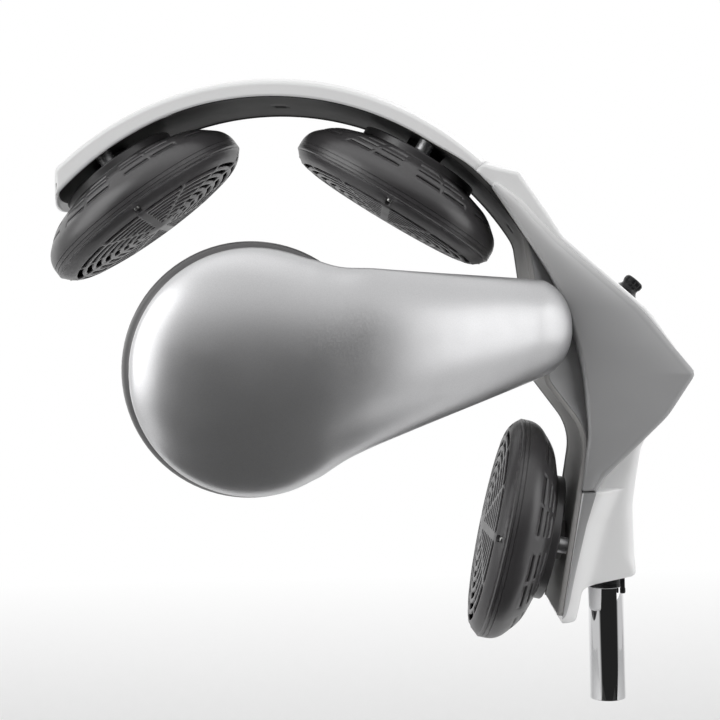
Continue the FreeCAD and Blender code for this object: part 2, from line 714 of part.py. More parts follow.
def make_arch_liner():
    """Inner skin of the arch: a shallow channel with a cable duct and two bores at each pod."""
    skin = both_sides(liner_band(0.0, LIP), ARCH_HALF_WIDTH)
    channel = both_sides(liner_band(LINER_WALL, LIP + 1.0), ARCH_HALF_WIDTH)
    channel = channel.common(taper_prism(-LINER_WALL)).common(front_trim(LINER_WALL))
    liner = skin.common(taper_prism(0.0)).common(front_trim(0.0)).cut(channel)
    foot = Vector(0, 0, POD_DEPTH)
    top = Vector(0, 0, POD_DEPTH + POST_LENGTH)
    ducts = [placed(rod(DUCT_RADIUS, foot, top), frame) for frame in HEAD_PODS.values()]
    limit = both_sides(liner_band(-DUCT_REACH, LINER_WALL), ARCH_HALF_WIDTH)
    liner = fused([liner] + [duct.common(limit) for duct in ducts])
    cuts = post_bores(SEATED)
    for frame in HEAD_PODS.values():
        cuts.append(placed(rod(DUCT_RADIUS - LINER_WALL, foot - Vector(0, 0, 1), top), frame))
    half_width = LINER_SLOT_WIDTH / 2
    half_length = LINER_SLOT_LENGTH / 2
    for turn in LINER_SLOT_DEGS:
        slot = block((-10, -half_width, -half_length), (10, half_width, half_length))
        slot.rotate(Vector(0, 0, 0), Vector(0, 1, 0), -turn)
        slot.translate(xz(at_angle(ARCH_RADIUS, turn)))
        cuts.append(slot)
    return liner.cut(Part.makeCompound(cuts))


def cover_section(inset):
    """Section of the arch cover as (y, radius about the arch centre, corner radius)."""
    half = ARCH_HALF_WIDTH - inset
    foot = SEAM_RADIUS + SEAM_GAP - (1.0 if inset > 0 else 0.0)
    eaves = SEAM_RADIUS + COVER_SIDE - inset
    ridge = SEAM_RADIUS + COVER_RIDGE - inset
    edge_round = max(0.5, COVER_EDGE_ROUND - inset)
    return [(-half, foot, 0.0), (-half, eaves, edge_round), (0.0, ridge, COVER_RIDGE_ROUND - inset),
            (half, eaves, edge_round), (half, foot, 0.0)]


def swept_cover(inset, start_deg, end_deg):
    """The cover's section swept about the arch centre."""
    face = closed_face(cover_section(inset))
    face.rotate(Vector(0, 0, 0), Vector(0, 0, 1), 90)
    face.translate(Vector(ARCH_X, 0, ARCH_Z))
    middle = Vector(ARCH_X, 0, ARCH_Z)
    face.rotate(middle, Vector(0, 1, 0), 90 - start_deg)
    return face.revolve(middle, Vector(0, 1, 0), start_deg - end_deg)


def make_arch_cover():
    """White outer cover of the arch, a crowned channel closed at its front end."""
    outer = swept_cover(0.0, ARCH_FRONT_DEG, COVER_BACK_DEG).common(front_trim(0.0))
    inner = swept_cover(COVER_WALL, ARCH_FRONT_DEG, COVER_BACK_DEG - 1).common(front_trim(COVER_WALL))
    return outer.cut(inner)


# ================================================================ rear body
def rear_outline(inset):
    """Outer line of the rear cover from the arch cover to the back tip, moved in by inset."""
    points = REAR_TOP + [(PANEL_END[0], PANEL_END[1], PANEL_ROUND), (BACK_TIP[0], BACK_TIP[1], 0.0)]
    return parallel(points, -inset) if inset else points[:-1]


def make_rear_cover():
    """Cover behind the crown with the sloping control panel, open below."""
    start_top = at_angle(SEAM_RADIUS + COVER_RIDGE - REAR_STEP, COVER_BACK_DEG)
    start_foot = at_angle(SEAM_RADIUS + SEAM_GAP, COVER_BACK_DEG)
    lower = list(reversed(parallel(CHEEK_TOP + [(BACK_TIP[0], BACK_TIP[1], 0.0)], CHEEK_GAP)))
    outline = [(start_foot[0], start_foot[1], 0.0), (start_top[0], start_top[1], 0.0)]
    outer = both_sides(closed_face(outline + rear_outline(0.0) + lower), ARCH_HALF_WIDTH)
    eaves = [edge for edge in outer.Edges if is_top_edge(edge)]
    outer = outer.makeFillet(COVER_EDGE_ROUND, eaves)
    inner_line = rear_outline(BODY_WALL)
    hollow_low = [(BACK_TIP[0] + 10, BACK_TIP[1] - 20, 0.0), (-160.0, 420.0, 0.0)]
    inner_start = at_angle(SEAM_RADIUS + COVER_RIDGE - REAR_STEP - BODY_WALL - 0.5, COVER_BACK_DEG + 4.0)
    hollow_outline = hollow_low + [(inner_start[0], inner_start[1], 0.0)] + inner_line
    hollow = both_sides(closed_face(hollow_outline), ARCH_HALF_WIDTH - BODY_WALL)
    cover = outer.cut(hollow)
    standoffs = []
    for along in (-1, 1):
        for across in (-1, 1):
            place = (BOARD_CENTRE + along * (BOARD_SIZE[0] / 2 - STANDOFF_INSET),
                     across * (BOARD_SIZE[1] / 2 - STANDOFF_INSET))
            standoffs.append(rod(STANDOFF_RADIUS, Vector(place[0], place[1], -BODY_WALL + 0.5),
                                 Vector(place[0], place[1], -BOARD_DROP)))
    cover = fused([cover] + [placed(post, PANEL_FRAME) for post in standoffs])
    length = DISPLAY_SIZE[0] + 2 * SEATED
    width = DISPLAY_SIZE[1] + 2 * SEATED
    window = panel_block(DISPLAY_AT, length, width, -BODY_WALL - 2, 5.0)
    bore = rod(BUSHING_RADIUS + SEATED, Vector(KNOB_AT, 0, -BODY_WALL - 2), Vector(KNOB_AT, 0, 5))
    return cover.cut([placed(window, PANEL_FRAME), placed(bore, PANEL_FRAME)])


def is_top_edge(edge):
    """True for the long edges between the rear cover's top and its sides."""
    centre = edge.CenterOfMass
    on_side = abs(abs(centre.y) - ARCH_HALF_WIDTH) < 0.01
    line_x = [point[0] for point in CHEEK_TOP] + [BACK_TIP[0]]
    line_z = [point[1] for point in CHEEK_TOP] + [BACK_TIP[1]]
    if not on_side or centre.x < line_x[0] + 14:
        return False
    for first_x, first_z, next_x, next_z in zip(line_x, line_z, line_x[1:], line_z[1:]):
        if first_x <= centre.x <= next_x:
            share = (centre.x - first_x) / (next_x - first_x)
            return centre.z > first_z + share * (next_z - first_z) + 3.0
    return False


def panel_block(centre, length, width, low, high):
    """Box in the panel's frame, centred across the panel."""
    return block((centre - length / 2, -width / 2, low), (centre + length / 2, width / 2, high))


def panel_frame():
    """Frame on the control panel: origin at its upper corner, X down the slope, Z outwards."""
    top = REAR_TOP[-1]
    down = Vector(PANEL_END[0] - top[0], 0, PANEL_END[1] - top[1]).normalize()
    out = Vector(-down.z, 0, down.x)
    return frame_of(xz(top), out, down)


PANEL_FRAME = panel_frame()


def make_left_cheek():
    """Kite-shaped side panel, a tray open towards the body."""
    outline = CHEEK_TOP + [(BACK_TIP[0], BACK_TIP[1], 4.0)] + CHEEK_LOW + CHEEK_FRONT
    inner_low = NECK_HALF_WIDTH
    outer_side = ARCH_HALF_WIDTH + CHEEK_PROUD
    tray = slab(closed_face(outline), -outer_side, -inner_low)
    moved = parallel(outline + [outline[0]], -BODY_WALL)
    corner_in = moved[0]
    hollow_points = [corner_in] + moved[1:-1]
    hollow = slab(closed_face(hollow_points), -outer_side + BODY_WALL, -inner_low + 1.0)
    return tray.cut(hollow)


def neck_outline():
    """Closed outline of the neck housing behind the seam, in XZ."""
    seam = list(reversed(parallel(liner_back(), LIP + SEAM_GAP)))
    foot = seam[0]
    front = [(foot[0], foot[1], 0.0), seam[1]]
    top = [(seam[1][0] - 12.0, NECK_TOP_Z, 0.0)]
    return [(BACK_TIP[0], BACK_TIP[1], 0.0)] + NECK_BACK + NECK_FOOT + front + top


def make_neck_housing():
    """White housing in two mouldings: one round the swivel with the flange, one behind the cheeks."""
    outline = neck_outline()
    face = closed_face(outline)
    body = both_sides(face, NECK_HALF_WIDTH - CHEEK_GAP)
    below = block((-BEYOND, -BEYOND, 0), (BEYOND, BEYOND, FLANGE_TOP_Z))
    flange_face = liner_band(LIP + SEAM_GAP, LIP + SEAM_GAP + FLANGE_DEPTH)
    flange = both_sides(flange_face, ARCH_HALF_WIDTH).common(taper_prism(0.0)).common(below)
    flange = flange.common(both_sides(face, ARCH_HALF_WIDTH))
    outer = fused([body, flange])
    back = parallel([(BACK_TIP[0], BACK_TIP[1], 0.0)] + NECK_BACK + NECK_FOOT[:2], -BODY_WALL)
    low = [(-36.0, FLANGE_LOW_Z - 1.0, 3.0), (-80.0, FLANGE_LOW_Z - 1.0, 0.0), (-80.0, 300.0, 0.0)]
    hollow = both_sides(closed_face(back + low), NECK_HALF_WIDTH - BODY_WALL)
    flange_hollow_face = liner_band(LIP, LIP + SEAM_GAP + FLANGE_DEPTH - BODY_WALL)
    flange_hollow = both_sides(flange_hollow_face, ARCH_HALF_WIDTH).common(taper_prism(-BODY_WALL))
    span = block((-BEYOND, -BEYOND, FLANGE_LOW_Z), (BEYOND, BEYOND, FLANGE_TOP_Z - BODY_WALL))
    flange_hollow = flange_hollow.common(span)
    housing = outer.cut([hollow, flange_hollow])
    throat = Part.makeCylinder(SPIGOT_RADIUS + FREE_GAP, 60, Vector(0, 0, 90))
    housing = housing.cut([throat, clamp_hole(0.2)])
    lower = housing.common(block((-BEYOND, -BEYOND, 0), (BEYOND, BEYOND, NECK_SPLIT_Z - SEATED)))
    upper = housing.common(block((-BEYOND, -BEYOND, NECK_SPLIT_Z + SEATED), (BEYOND, BEYOND, BEYOND)))
    return Part.makeCompound([lower, upper])


def cheek_edge_line(inset):
    """Front edge of a cheek from its lower end to its top, moved forward by inset."""
    line = CHEEK_FRONT + [(CHEEK_TOP[0][0], CHEEK_TOP[0][1], 0.0)]
    return parallel(line, inset)


def make_left_pocket():
    """Recessed side wall that the left arm swings in: a tray open outwards."""
    trays = []
    for inset, low_y, high_y in ((0.0, POCKET_FLOOR - POCKET_WALL, ARCH_HALF_WIDTH - 1.0),
                                 (POCKET_WALL, POCKET_FLOOR, ARCH_HALF_WIDTH + 20.0)):
        seam = parallel(liner_back(), LIP + SEAM_GAP + inset)
        behind_seam = closed_face(seam[:-1] + [(60.0, 200.0, 0.0), (60.0, 480.0, 0.0)])
        front = cheek_edge_line(CHEEK_GAP + inset)
        ahead = closed_face(front + [(-200.0, 480.0, 0.0), (-200.0, 186.0, 0.0)])
        strip = block((-300, -200, POCKET_LOW_Z + inset), (300, 0, POCKET_TOP_Z - inset))
        tray = slab(behind_seam, -high_y, -low_y).common(slab(ahead, -high_y, -low_y))
        trays.append(tray.common(strip))
    lug = lug_block(FREE_GAP)
    return trays[0].cut([trays[1], lug])


# ================================================================ spine
def lug_block(grow):
    """Cross bar that carries both hinge lugs, widened by grow."""
    front = HINGE_X - KNUCKLE_RADIUS + 1.5
    return block((front - grow, -HINGE_Y, HINGE_Z - LUG_HALF_HEIGHT - grow),
                 (front + LUG_THICKNESS + grow, HINGE_Y, HINGE_Z + LUG_HALF_HEIGHT + grow))


def spine_line(radius):
    """Edges of the spine bar's line at a radius, from the front pod to the swivel socket."""
    leave = at_angle(radius, SPINE_BACK_DEG)
    turn = math.radians(SPINE_BACK_DEG)
    down = Vector(math.sin(turn), 0, -math.cos(turn))
    shift = radius - SPINE_MID_RADIUS
    reach = (shift - leave[0]) / down.x
    corner = (shift, leave[1] + down.z * reach, 40.0 + shift)
    foot = (shift, SOCKET_TOP, 0.0)
    straight = rounded_edges([(leave[0], leave[1], 0.0), corner, foot])
    return [arch_arc(radius, SPINE_FRONT_DEG, SPINE_BACK_DEG)] + straight


def make_spine():
    """Steel frame: swivel socket, bent bar along the arch, a pad for each pod and two hinge lugs."""
    inner = spine_line(SPINE_RADIUS)
    outer = spine_line(SPINE_RADIUS + SPINE_THICKNESS)
    ends = [Part.makeLine(inner[0].Vertexes[0].Point, outer[0].Vertexes[0].Point),
            Part.makeLine(inner[-1].Vertexes[-1].Point, outer[-1].Vertexes[-1].Point)]
    face = Part.Face(Part.Wire(Part.__sortEdges__(inner + outer + ends)))
    bar = both_sides(face, SPINE_HALF_WIDTH)
    low = POD_DEPTH + POST_LENGTH
    pad = block((-PAD_HALF_LENGTH, -PAD_HALF_WIDTH, low),
                (PAD_HALF_LENGTH, PAD_HALF_WIDTH, low + SPINE_THICKNESS))
    pads = [placed(pad, frame) for frame in HEAD_PODS.values()]
    socket = tube(SOCKET_RADIUS + SOCKET_WALL, SOCKET_RADIUS, SOCKET_FOOT, SOCKET_TOP)
    cap = Part.makeCylinder(SOCKET_RADIUS + SOCKET_WALL, SPINE_THICKNESS, Vector(0, 0, SOCKET_TOP))
    nape_rib = block((NAPE_SEAT[0] + 2.0, -SPINE_THICKNESS, NAPE_SEAT[1] - 8.0),
                     (-SOCKET_RADIUS - 1.0, SPINE_THICKNESS, NAPE_SEAT[1] + 8.0))
    lug = lug_block(0.0)
    rib_end = max(at_angle(SPINE_RADIUS, SPINE_BACK_DEG)[0], HINGE_X) + 18.0
    rib = block((HINGE_X, -SPINE_HALF_WIDTH / 2, HINGE_Z - LUG_HALF_HEIGHT),
                (rib_end, SPINE_HALF_WIDTH / 2, HINGE_Z + LUG_HALF_HEIGHT))
    knuckles = []
    bores = []
    for side in (-HINGE_Y, HINGE_Y):
        low = Vector(HINGE_X, side, HINGE_Z - LUG_HALF_HEIGHT)
        high = Vector(HINGE_X, side, HINGE_Z + LUG_HALF_HEIGHT)
        knuckles.append(rod(KNUCKLE_RADIUS, low, high))
        bores.append(rod(PIN_RADIUS + RUNNING, low, high))
    spine = fused([bar] + pads + [socket, cap, nape_rib, lug, rib] + knuckles)
    return spine.cut(bores + [clamp_hole(0.0)])


def make_mounting_posts():
    """Silver posts between the hubs of the three head pods and their pads."""
    return Part.makeCompound(post_bores(0.0))


# ================================================================ mast and swivel
def clamp_hole(grow):
    """Hole of the clamp screw from the mast axis backwards."""
    start = Vector(0, 0, CLAMP_SCREW_Z)
    return rod(CLAMP_SCREW_RADIUS + grow, start, start + Vector(CLAMP_SCREW_REACH, 0, 0))


def make_mast_tube():
    """Chrome mast stub."""
    return tube(MAST_RADIUS, MAST_RADIUS - MAST_WALL, 0.0, MAST_LENGTH)


def make_thrust_bush():
    """Plastic bush fixed in the mast, on which the spigot turns."""
    top = MAST_LENGTH - SPIGOT_DEPTH - BUSH_GAP
    return tube(MAST_RADIUS - MAST_WALL - SEATED, SPIGOT_RADIUS - SPIGOT_WALL, top - BUSH_HEIGHT, top)


def make_swivel_spigot():
    """Black tube fixed in the socket that turns inside the mast."""
    spigot = tube(SPIGOT_RADIUS, SPIGOT_RADIUS - SPIGOT_WALL, MAST_LENGTH - SPIGOT_DEPTH, SOCKET_TOP)
    return spigot.cut(clamp_hole(0.0))


def make_clamp_screw():
    """Round-headed screw that clamps the spigot in the socket."""
    high, low = NECK_BACK[-2:]
    share = (CLAMP_SCREW_Z - low[1]) / (high[1] - low[1])
    seat = low[0] + share * (high[0] - low[0]) + CLAMP_SEAT_GAP
    shank = rod(CLAMP_SCREW_RADIUS - SEATED, Vector(SPIGOT_RADIUS - SPIGOT_WALL + 0.5, 0, CLAMP_SCREW_Z),
                Vector(seat, 0, CLAMP_SCREW_Z))
    head = rod(CLAMP_HEAD_RADIUS, Vector(seat, 0, CLAMP_SCREW_Z),
               Vector(seat + CLAMP_HEAD_HEIGHT, 0, CLAMP_SCREW_Z))
    return fused([shank, head])


def make_lock_tab():
    """Black tab that hangs from the housing beside the top of the mast."""
    half_x = TAB_SIZE[0] / 2
    half_y = TAB_SIZE[1] / 2
    return block((TAB_AT[0] - half_x, TAB_AT[1] - half_y, TAB_TOP_Z - TAB_SIZE[2]),
                 (TAB_AT[0] + half_x, TAB_AT[1] + half_y, TAB_TOP_Z))


# ================================================================ left arm
def arm_middle(x):
    """Height of the middle of the arm at x."""
    return ARM_CENTRE_Z - ARM_DROP * max(0.0, ARM_ROOT_X - x)


def arm_section(x, half_height, edge, crest):
    """Closed D-shaped wire of the left arm's neck at x."""
    points = []
    for index in range(9):
        turn = math.pi * index / 8
        across = math.cos(turn)
        out = math.sin(turn)
        height = math.copysign(abs(across) ** 0.85, across) * half_height
        points.append(Vector(x, -(edge + (crest - edge) * out ** 0.75), arm_middle(x) + height))
    curve = Part.BSplineCurve()
    curve.interpolate(points)
    return Part.Wire([curve.toShape(), Part.makeLine(points[-1], points[0])])


def arm_neck(inset):
    """Neck of the left arm as a solid; with an inset, the space inside its wall."""
    wires = []
    for x, half_height, edge, crest in ARM_STATIONS:
        open_side = 3.0 if inset else 0.0
        wires.append(arm_section(x - inset, half_height - inset, edge - open_side, crest - inset))
    return Part.makeLoft(wires, True, False)


def arm_bowl(inset):
    """Wide end of the left arm, in the pod's frame."""
    foot = BOWL_EDGE - (2.0 if inset else 0.0)
    return turned([
        (0.0, foot, 0.0),
        (BOWL_RADIUS - inset, foot, 0.0),
        (BOWL_RADIUS - inset, BOWL_SIDE, 18.0 - inset),
        (BOWL_SHOULDER_RADIUS, BOWL_SHOULDER_Z - inset, 90.0),
        (0.0, BOWL_DEPTH - inset, 0.0),
    ])


def pod_room(grow, top):
    """Space round the pod up to a height, in the pod's frame."""
    return Part.makeCylinder(POD_RADIUS + grow, 60.0 + top, Vector(0, 0, -60.0))


def make_left_arm_shell():
    """Silver spoon-shaped shell: narrow end at the hinge, wide end over the pod's back."""
    outer = fused([arm_neck(0.0), placed(arm_bowl(0.0), LEFT_POD)])
    shell = outer.cut([arm_neck(ARM_WALL), placed(arm_bowl(ARM_WALL), LEFT_POD)])
    return shell.cut(placed(pod_room(ARM_POD_GAP, BOWL_EDGE), LEFT_POD))


def make_left_arm_cover():
    """Inner cover that closes the neck of the arm on the side of the head."""
    wires = []
    for x, half_height, edge, _ in ARM_STATIONS[3:]:
        half = half_height - ARM_WALL - ARM_COVER_GAP
        near = edge + 0.4
        far = near + ARM_COVER_THICKNESS
        middle = arm_middle(x)
        corners = [(near, middle - half), (near, middle + half), (far, middle + half), (far, middle - half)]
        corners.append(corners[0])
        wires.append(Part.makePolygon([Vector(x, -across, up) for across, up in corners]))
    plate = Part.makeLoft(wires, True, True)
    span = block((ARM_COVER_END_X, -BEYOND, 0), (ARM_COVER_START_X, 0, BEYOND))
    return plate.cut(placed(pod_room(ARM_POD_GAP, POD_DEPTH), LEFT_POD)).common(span)


def strap_slab(line, half_height):
    """Strip of the arm's strap along a plan line."""
    left = parallel(line, STRAP_THICKNESS / 2)
    right = list(reversed(parallel(line, -STRAP_THICKNESS / 2)))
    flat = both_sides(closed_face(left + right), half_height)
    flat.rotate(Vector(0, 0, 0), Vector(1, 0, 0), 90)
    flat.translate(Vector(0, 0, HINGE_Z))
    return flat


def make_left_arm_bracket():
    """Steel strap with two hinge knuckles at one end and a disc for the pod at the other."""
    knuckle_top = LUG_HALF_HEIGHT + FREE_GAP + KNUCKLE_HEIGHT
    strap = strap_slab(STRAP_LINE, STRAP_HALF_HEIGHT)
    strap.rotate(Vector(HINGE_X, 0, HINGE_Z), Vector(0, 1, 0), -STRAP_SLOPE_DEG)
    root = strap_slab(STRAP_ROOT, knuckle_top)
    disc = Part.makeCylinder(STRAP_DISC_RADIUS, STRAP_THICKNESS, Vector(0, 0, POD_DEPTH))
    middle = Vector(HINGE_X, -HINGE_Y, HINGE_Z)
    gap_reach = Vector(0, 0, LUG_HALF_HEIGHT + FREE_GAP)
    gap = rod(KNUCKLE_RADIUS + 1.2, middle - gap_reach, middle + gap_reach)
    low = middle - Vector(0, 0, knuckle_top)
    high = middle + Vector(0, 0, knuckle_top)
    knuckle = rod(KNUCKLE_RADIUS, low, high)
    skin = turned(pod_profile() + [(0.0, 0.0, 0.0)])
    strap = strap.cut(placed(skin, LEFT_POD))
    bracket = fused([strap, root, knuckle, placed(disc, LEFT_POD)])
    return bracket.cut([gap, rod(PIN_RADIUS + SEATED, low, high)])


def make_left_arm_pin():
    """Hinge pin, fixed in the bracket's knuckles and turning in the spine's lug."""
    reach = Vector(0, 0, LUG_HALF_HEIGHT + FREE_GAP + KNUCKLE_HEIGHT)
    middle = Vector(HINGE_X, -HINGE_Y, HINGE_Z)
    return rod(PIN_RADIUS, middle - reach, middle + reach)


# ================================================================ control panel
def make_display_lens():
    """Dark window over the display."""
    lens = panel_block(DISPLAY_AT, DISPLAY_SIZE[0], DISPLAY_SIZE[1], -LENS_THICKNESS, 0.0)
    return placed(lens, PANEL_FRAME)


def make_control_board():
    """Circuit board on four standoffs, with the display module under its window."""
    top = -BOARD_DROP
    board = panel_block(BOARD_CENTRE, BOARD_SIZE[0], BOARD_SIZE[1], top - BOARD_SIZE[2], top)
    module = panel_block(DISPLAY_AT, DISPLAY_SIZE[0] - 1.0, DISPLAY_SIZE[1] - 1.0, top, -LENS_THICKNESS)
    return placed(fused([board, module]), PANEL_FRAME)


def make_encoder():
    """Rotary encoder between the board and the panel, with a threaded bushing through the panel."""
    body = panel_block(KNOB_AT, ENCODER_SIZE, ENCODER_SIZE, -BOARD_DROP, -BODY_WALL)
    bushing = rod(BUSHING_RADIUS, Vector(KNOB_AT, 0, -BODY_WALL - 1), Vector(KNOB_AT, 0, BUSHING_RISE))
    bore = rod(KNOB_SHAFT_RADIUS + RUNNING, Vector(KNOB_AT, 0, ENCODER_FLOOR), Vector(KNOB_AT, 0, 5))
    return placed(fused([body, bushing]).cut(bore), PANEL_FRAME)


def make_knob_shaft():
    """Shaft of the encoder, pressed in with the knob."""
    foot = Vector(KNOB_AT, 0, ENCODER_FLOOR + KNOB_TRAVEL + 0.4)
    top = Vector(KNOB_AT, 0, KNOB_HEIGHT - KNOB_CAP)
    return placed(rod(KNOB_SHAFT_RADIUS, foot, top), PANEL_FRAME)


def make_control_knob():
    """Flared black knob with a blind bore for its shaft and a recess over the bushing."""
    skirt = KNOB_LIFT
    bore_end = KNOB_HEIGHT - KNOB_CAP + SEATED
    body = turned([
        (0.0, skirt, 0.0),
        (KNOB_SKIRT_RADIUS, skirt, 0.0),
        (KNOB_SKIRT_RADIUS - 0.8, skirt + 1.6, 0.5),
        (KNOB_WAIST_RADIUS + 0.6, skirt + 5.5, 8.0),
        (KNOB_WAIST_RADIUS, KNOB_HEIGHT - 9.0, 2.0),
        (KNOB_HEAD_RADIUS, KNOB_HEIGHT - 7.0, 1.0),
        (KNOB_HEAD_RADIUS, KNOB_HEIGHT - 1.0, 1.5),
        (0.0, KNOB_HEIGHT, 0.0),
    ])
    bore = Part.makeCylinder(KNOB_SHAFT_RADIUS + RUNNING, bore_end)
    recess = Part.makeCylinder(BUSHING_RADIUS + FREE_GAP, KNOB_TRAVEL + 0.6, Vector(0, 0, skirt - 0.5))
    knob = body.cut([bore, recess])
    knob.translate(Vector(KNOB_AT, 0, 0))
    return placed(knob, PANEL_FRAME)


# ================================================================ assembly
def save_pods():
    """Write the pieces of all five pods, and the screws and posts as groups."""
    pieces = pod_pieces()
    screws = make_grille_screws()
    head_screws = []
    for where, frame in HEAD_PODS.items():
        for name, shape in pieces.items():
            save(where + "_" + name, placed(shape, frame))
        head_screws += [placed(screw, frame) for screw in screws]
    save("head_grille_screws", Part.makeCompound(head_screws))
    for name, shape in pieces.items():
        left = placed(shape, LEFT_POD)
        save("left_" + name, left)
        save("right_" + name, mirrored(left))
    left_screws = Part.makeCompound([placed(screw, LEFT_POD) for screw in screws])
    save("left_grille_screws", left_screws)
    save("right_grille_screws", mirrored(left_screws))
    save("mounting_posts", make_mounting_posts())


def save_pairs():
    """Write the pieces that come in a left and a right copy."""
    makers = {
        "cheek": make_left_cheek,
        "arm_shell": make_left_arm_shell,
        "arm_cover": make_left_arm_cover,
        "arm_bracket": make_left_arm_bracket,
        "arm_pin": make_left_arm_pin,
    }
    for name, maker in makers.items():
        left = maker()
        save("left_" + name, left)
        save("right_" + name, mirrored(left))
    pocket = make_left_pocket()
    save("hinge_pockets", Part.makeCompound([pocket, mirrored(pocket)]))


def save_body():
    """Write the single pieces of the head, the swivel and the control panel."""
    makers = {
        "arch_cover": make_arch_cover,
        "arch_liner": make_arch_liner,
        "rear_cover": make_rear_cover,
        "neck_housing": make_neck_housing,
        "spine": make_spine,
        "swivel_spigot": make_swivel_spigot,
        "clamp_screw": make_clamp_screw,
        "lock_tab": make_lock_tab,
        "mast_tube": make_mast_tube,
        "thrust_bush": make_thrust_bush,
        "display_lens": make_display_lens,
        "control_board": make_control_board,
        "encoder": make_encoder,
        "knob_shaft": make_knob_shaft,
        "control_knob": make_control_knob,
    }
    for name, maker in makers.items():
        save(name, maker())


if __name__ == "__main__":
    os.makedirs("parts", exist_ok=True)
    save_pods()
    save_pairs()
    save_body()
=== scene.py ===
"""Looks of a salon hair colour processor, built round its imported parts.

Shapes are worked out in millimetres in the part's own frame: +Z up, origin on the mast axis at the
lower end of the mast stub, the client at -X facing -X, the client's left at -Y.  They go into meshes
in metres.  A shape is a grid of points, worked out as whole arrays.
"""

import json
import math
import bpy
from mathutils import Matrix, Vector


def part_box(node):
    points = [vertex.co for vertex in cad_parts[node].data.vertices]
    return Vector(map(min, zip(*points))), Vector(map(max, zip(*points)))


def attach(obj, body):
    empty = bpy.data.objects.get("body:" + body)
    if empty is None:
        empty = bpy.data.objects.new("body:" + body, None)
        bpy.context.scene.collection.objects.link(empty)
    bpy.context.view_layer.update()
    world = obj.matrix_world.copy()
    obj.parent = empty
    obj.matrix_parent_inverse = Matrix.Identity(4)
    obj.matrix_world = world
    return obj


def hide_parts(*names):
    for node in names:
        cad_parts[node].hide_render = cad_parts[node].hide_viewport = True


bl_info = {
    "name": "Hair colour processor",
    "version": (1, 0, 0),
    "blender": (4, 5, 0),
    "location": "3D View > Sidebar > Processor",
    "description": "Builds the shells, pods, arms and controls of a salon hair colour processor",
    "category": "Add Mesh",
}

import bmesh
import bpy
import numpy as np
from mathutils import Matrix, Vector

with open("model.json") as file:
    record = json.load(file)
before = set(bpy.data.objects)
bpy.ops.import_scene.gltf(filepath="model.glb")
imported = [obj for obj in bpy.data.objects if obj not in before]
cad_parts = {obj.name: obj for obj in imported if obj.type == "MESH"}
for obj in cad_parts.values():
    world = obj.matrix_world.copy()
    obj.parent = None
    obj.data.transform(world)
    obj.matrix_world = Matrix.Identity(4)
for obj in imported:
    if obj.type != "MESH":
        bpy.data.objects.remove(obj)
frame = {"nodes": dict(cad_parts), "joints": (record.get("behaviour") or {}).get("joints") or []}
NODES = frame["nodes"]
JOINTS = {joint["name"]: joint for joint in frame["joints"]}
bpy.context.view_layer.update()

MM = 0.001
HEAD_PODS = ("front", "crown", "nape")
SIDES = ("left", "right")
FULL_TURN = 2 * math.pi
WELD = 1e-5


# ================================================================ sizes and colours
def length(name, description, default_mm):
    """Property for a size, given in millimetres and shown as a length."""
    return bpy.props.FloatProperty(
        name=name, description=description, default=default_mm * MM, min=0.0, precision=4, unit="LENGTH")


def colour(name, description, default):
    """Property for a surface colour."""
    return bpy.props.FloatVectorProperty(
        name=name, description=description, default=default, size=3, min=0.0, max=1.0, subtype="COLOR")


class ArchSettings(bpy.types.PropertyGroup):
    """Sizes of the arch."""
    half_width: length("Half width", "Half the width of the arch", 60.0)
    lip: length("Lip", "Depth of the liner, up to the seam with the cover", 4.5)
    cover_side: length("Side wall", "Height of the cover's side wall above the seam", 9.5)
    cover_ridge: length("Ridge", "Height of the cover's crown line above the seam", 19.3)
    bead: length("Bead", "Height of the bead along the liner's edge", 0.9)


class PodSettings(bpy.types.PropertyGroup):
    """Sizes of a heater pod."""
    radius: length("Radius", "Outer radius of a pod", 100.5)
    slot: length("Slot", "Width of a slot in the grille", 5.8)
    pitch: length("Pitch", "Distance from one ring of slots to the next", 9.7)
    main_rib: length("Main rib", "Width of the four main ribs", 6.5)
    fine_rib: length("Fine rib", "Width of the ribs between the main ones", 2.6)
    rings: bpy.props.IntProperty(name="Rings", description="Number of rings of slots", default=8, min=1)


class ArmSettings(bpy.types.PropertyGroup):
    """Sizes of a side arm."""
    bowl: length("Bowl", "Radius of the arm's wide end", 96.0)
    rise: length("Rise", "Height of the arm's dome over its rim", 35.2)
    wall: length("Wall", "Thickness of the arm's shell", 2.6)
    blend: bpy.props.FloatProperty(
        name="Blend", description="How sharply the neck's outline meets the bowl's", default=14.0, min=2.0)


class BodySettings(bpy.types.PropertyGroup):
    """Sizes of the rear body and the mast."""
    cheek_crown: length("Cheek crown", "How far a cheek's middle stands out past its rim", 3.8)
    cheek_roll: length("Cheek roll", "Radius of a cheek's outer edge", 3.4)
    mast_radius: length("Mast radius", "Outer radius of the mast", 16.0)


class PanelSettings(bpy.types.PropertyGroup):
    """Sizes of the knob."""
    skirt: length("Skirt", "Radius of the knob's skirt", 13.0)
    head: length("Head", "Radius of the knob's head", 9.2)
    height: length("Height", "From the panel to the top of the knob", 19.5)
    flutes: bpy.props.IntProperty(name="Flutes", description="Grip flutes round the head", default=8, min=3)


class FinishSettings(bpy.types.PropertyGroup):
    """Colours of the finishes."""
    white: colour("White lacquer", "Arch cover, rear cover and neck", (0.89, 0.89, 0.89))
    cheek: colour("Silver-grey lacquer", "Side cheeks", (0.43, 0.43, 0.435))
    silver: colour("Pearl silver", "Side arms", (0.74, 0.74, 0.75))
    liner: colour("Grey moulding", "Arch liner", (0.29, 0.285, 0.28))
    pod: colour("Anthracite moulding", "Pods and grilles", (0.046, 0.044, 0.046))
    black: colour("Black", "Knob, collar, tab and fans", (0.012, 0.012, 0.013))
    chrome: colour("Chrome", "Mast", (0.80, 0.80, 0.81))
    brass: colour("Plated screw", "Clamp screw", (0.62, 0.46, 0.30))


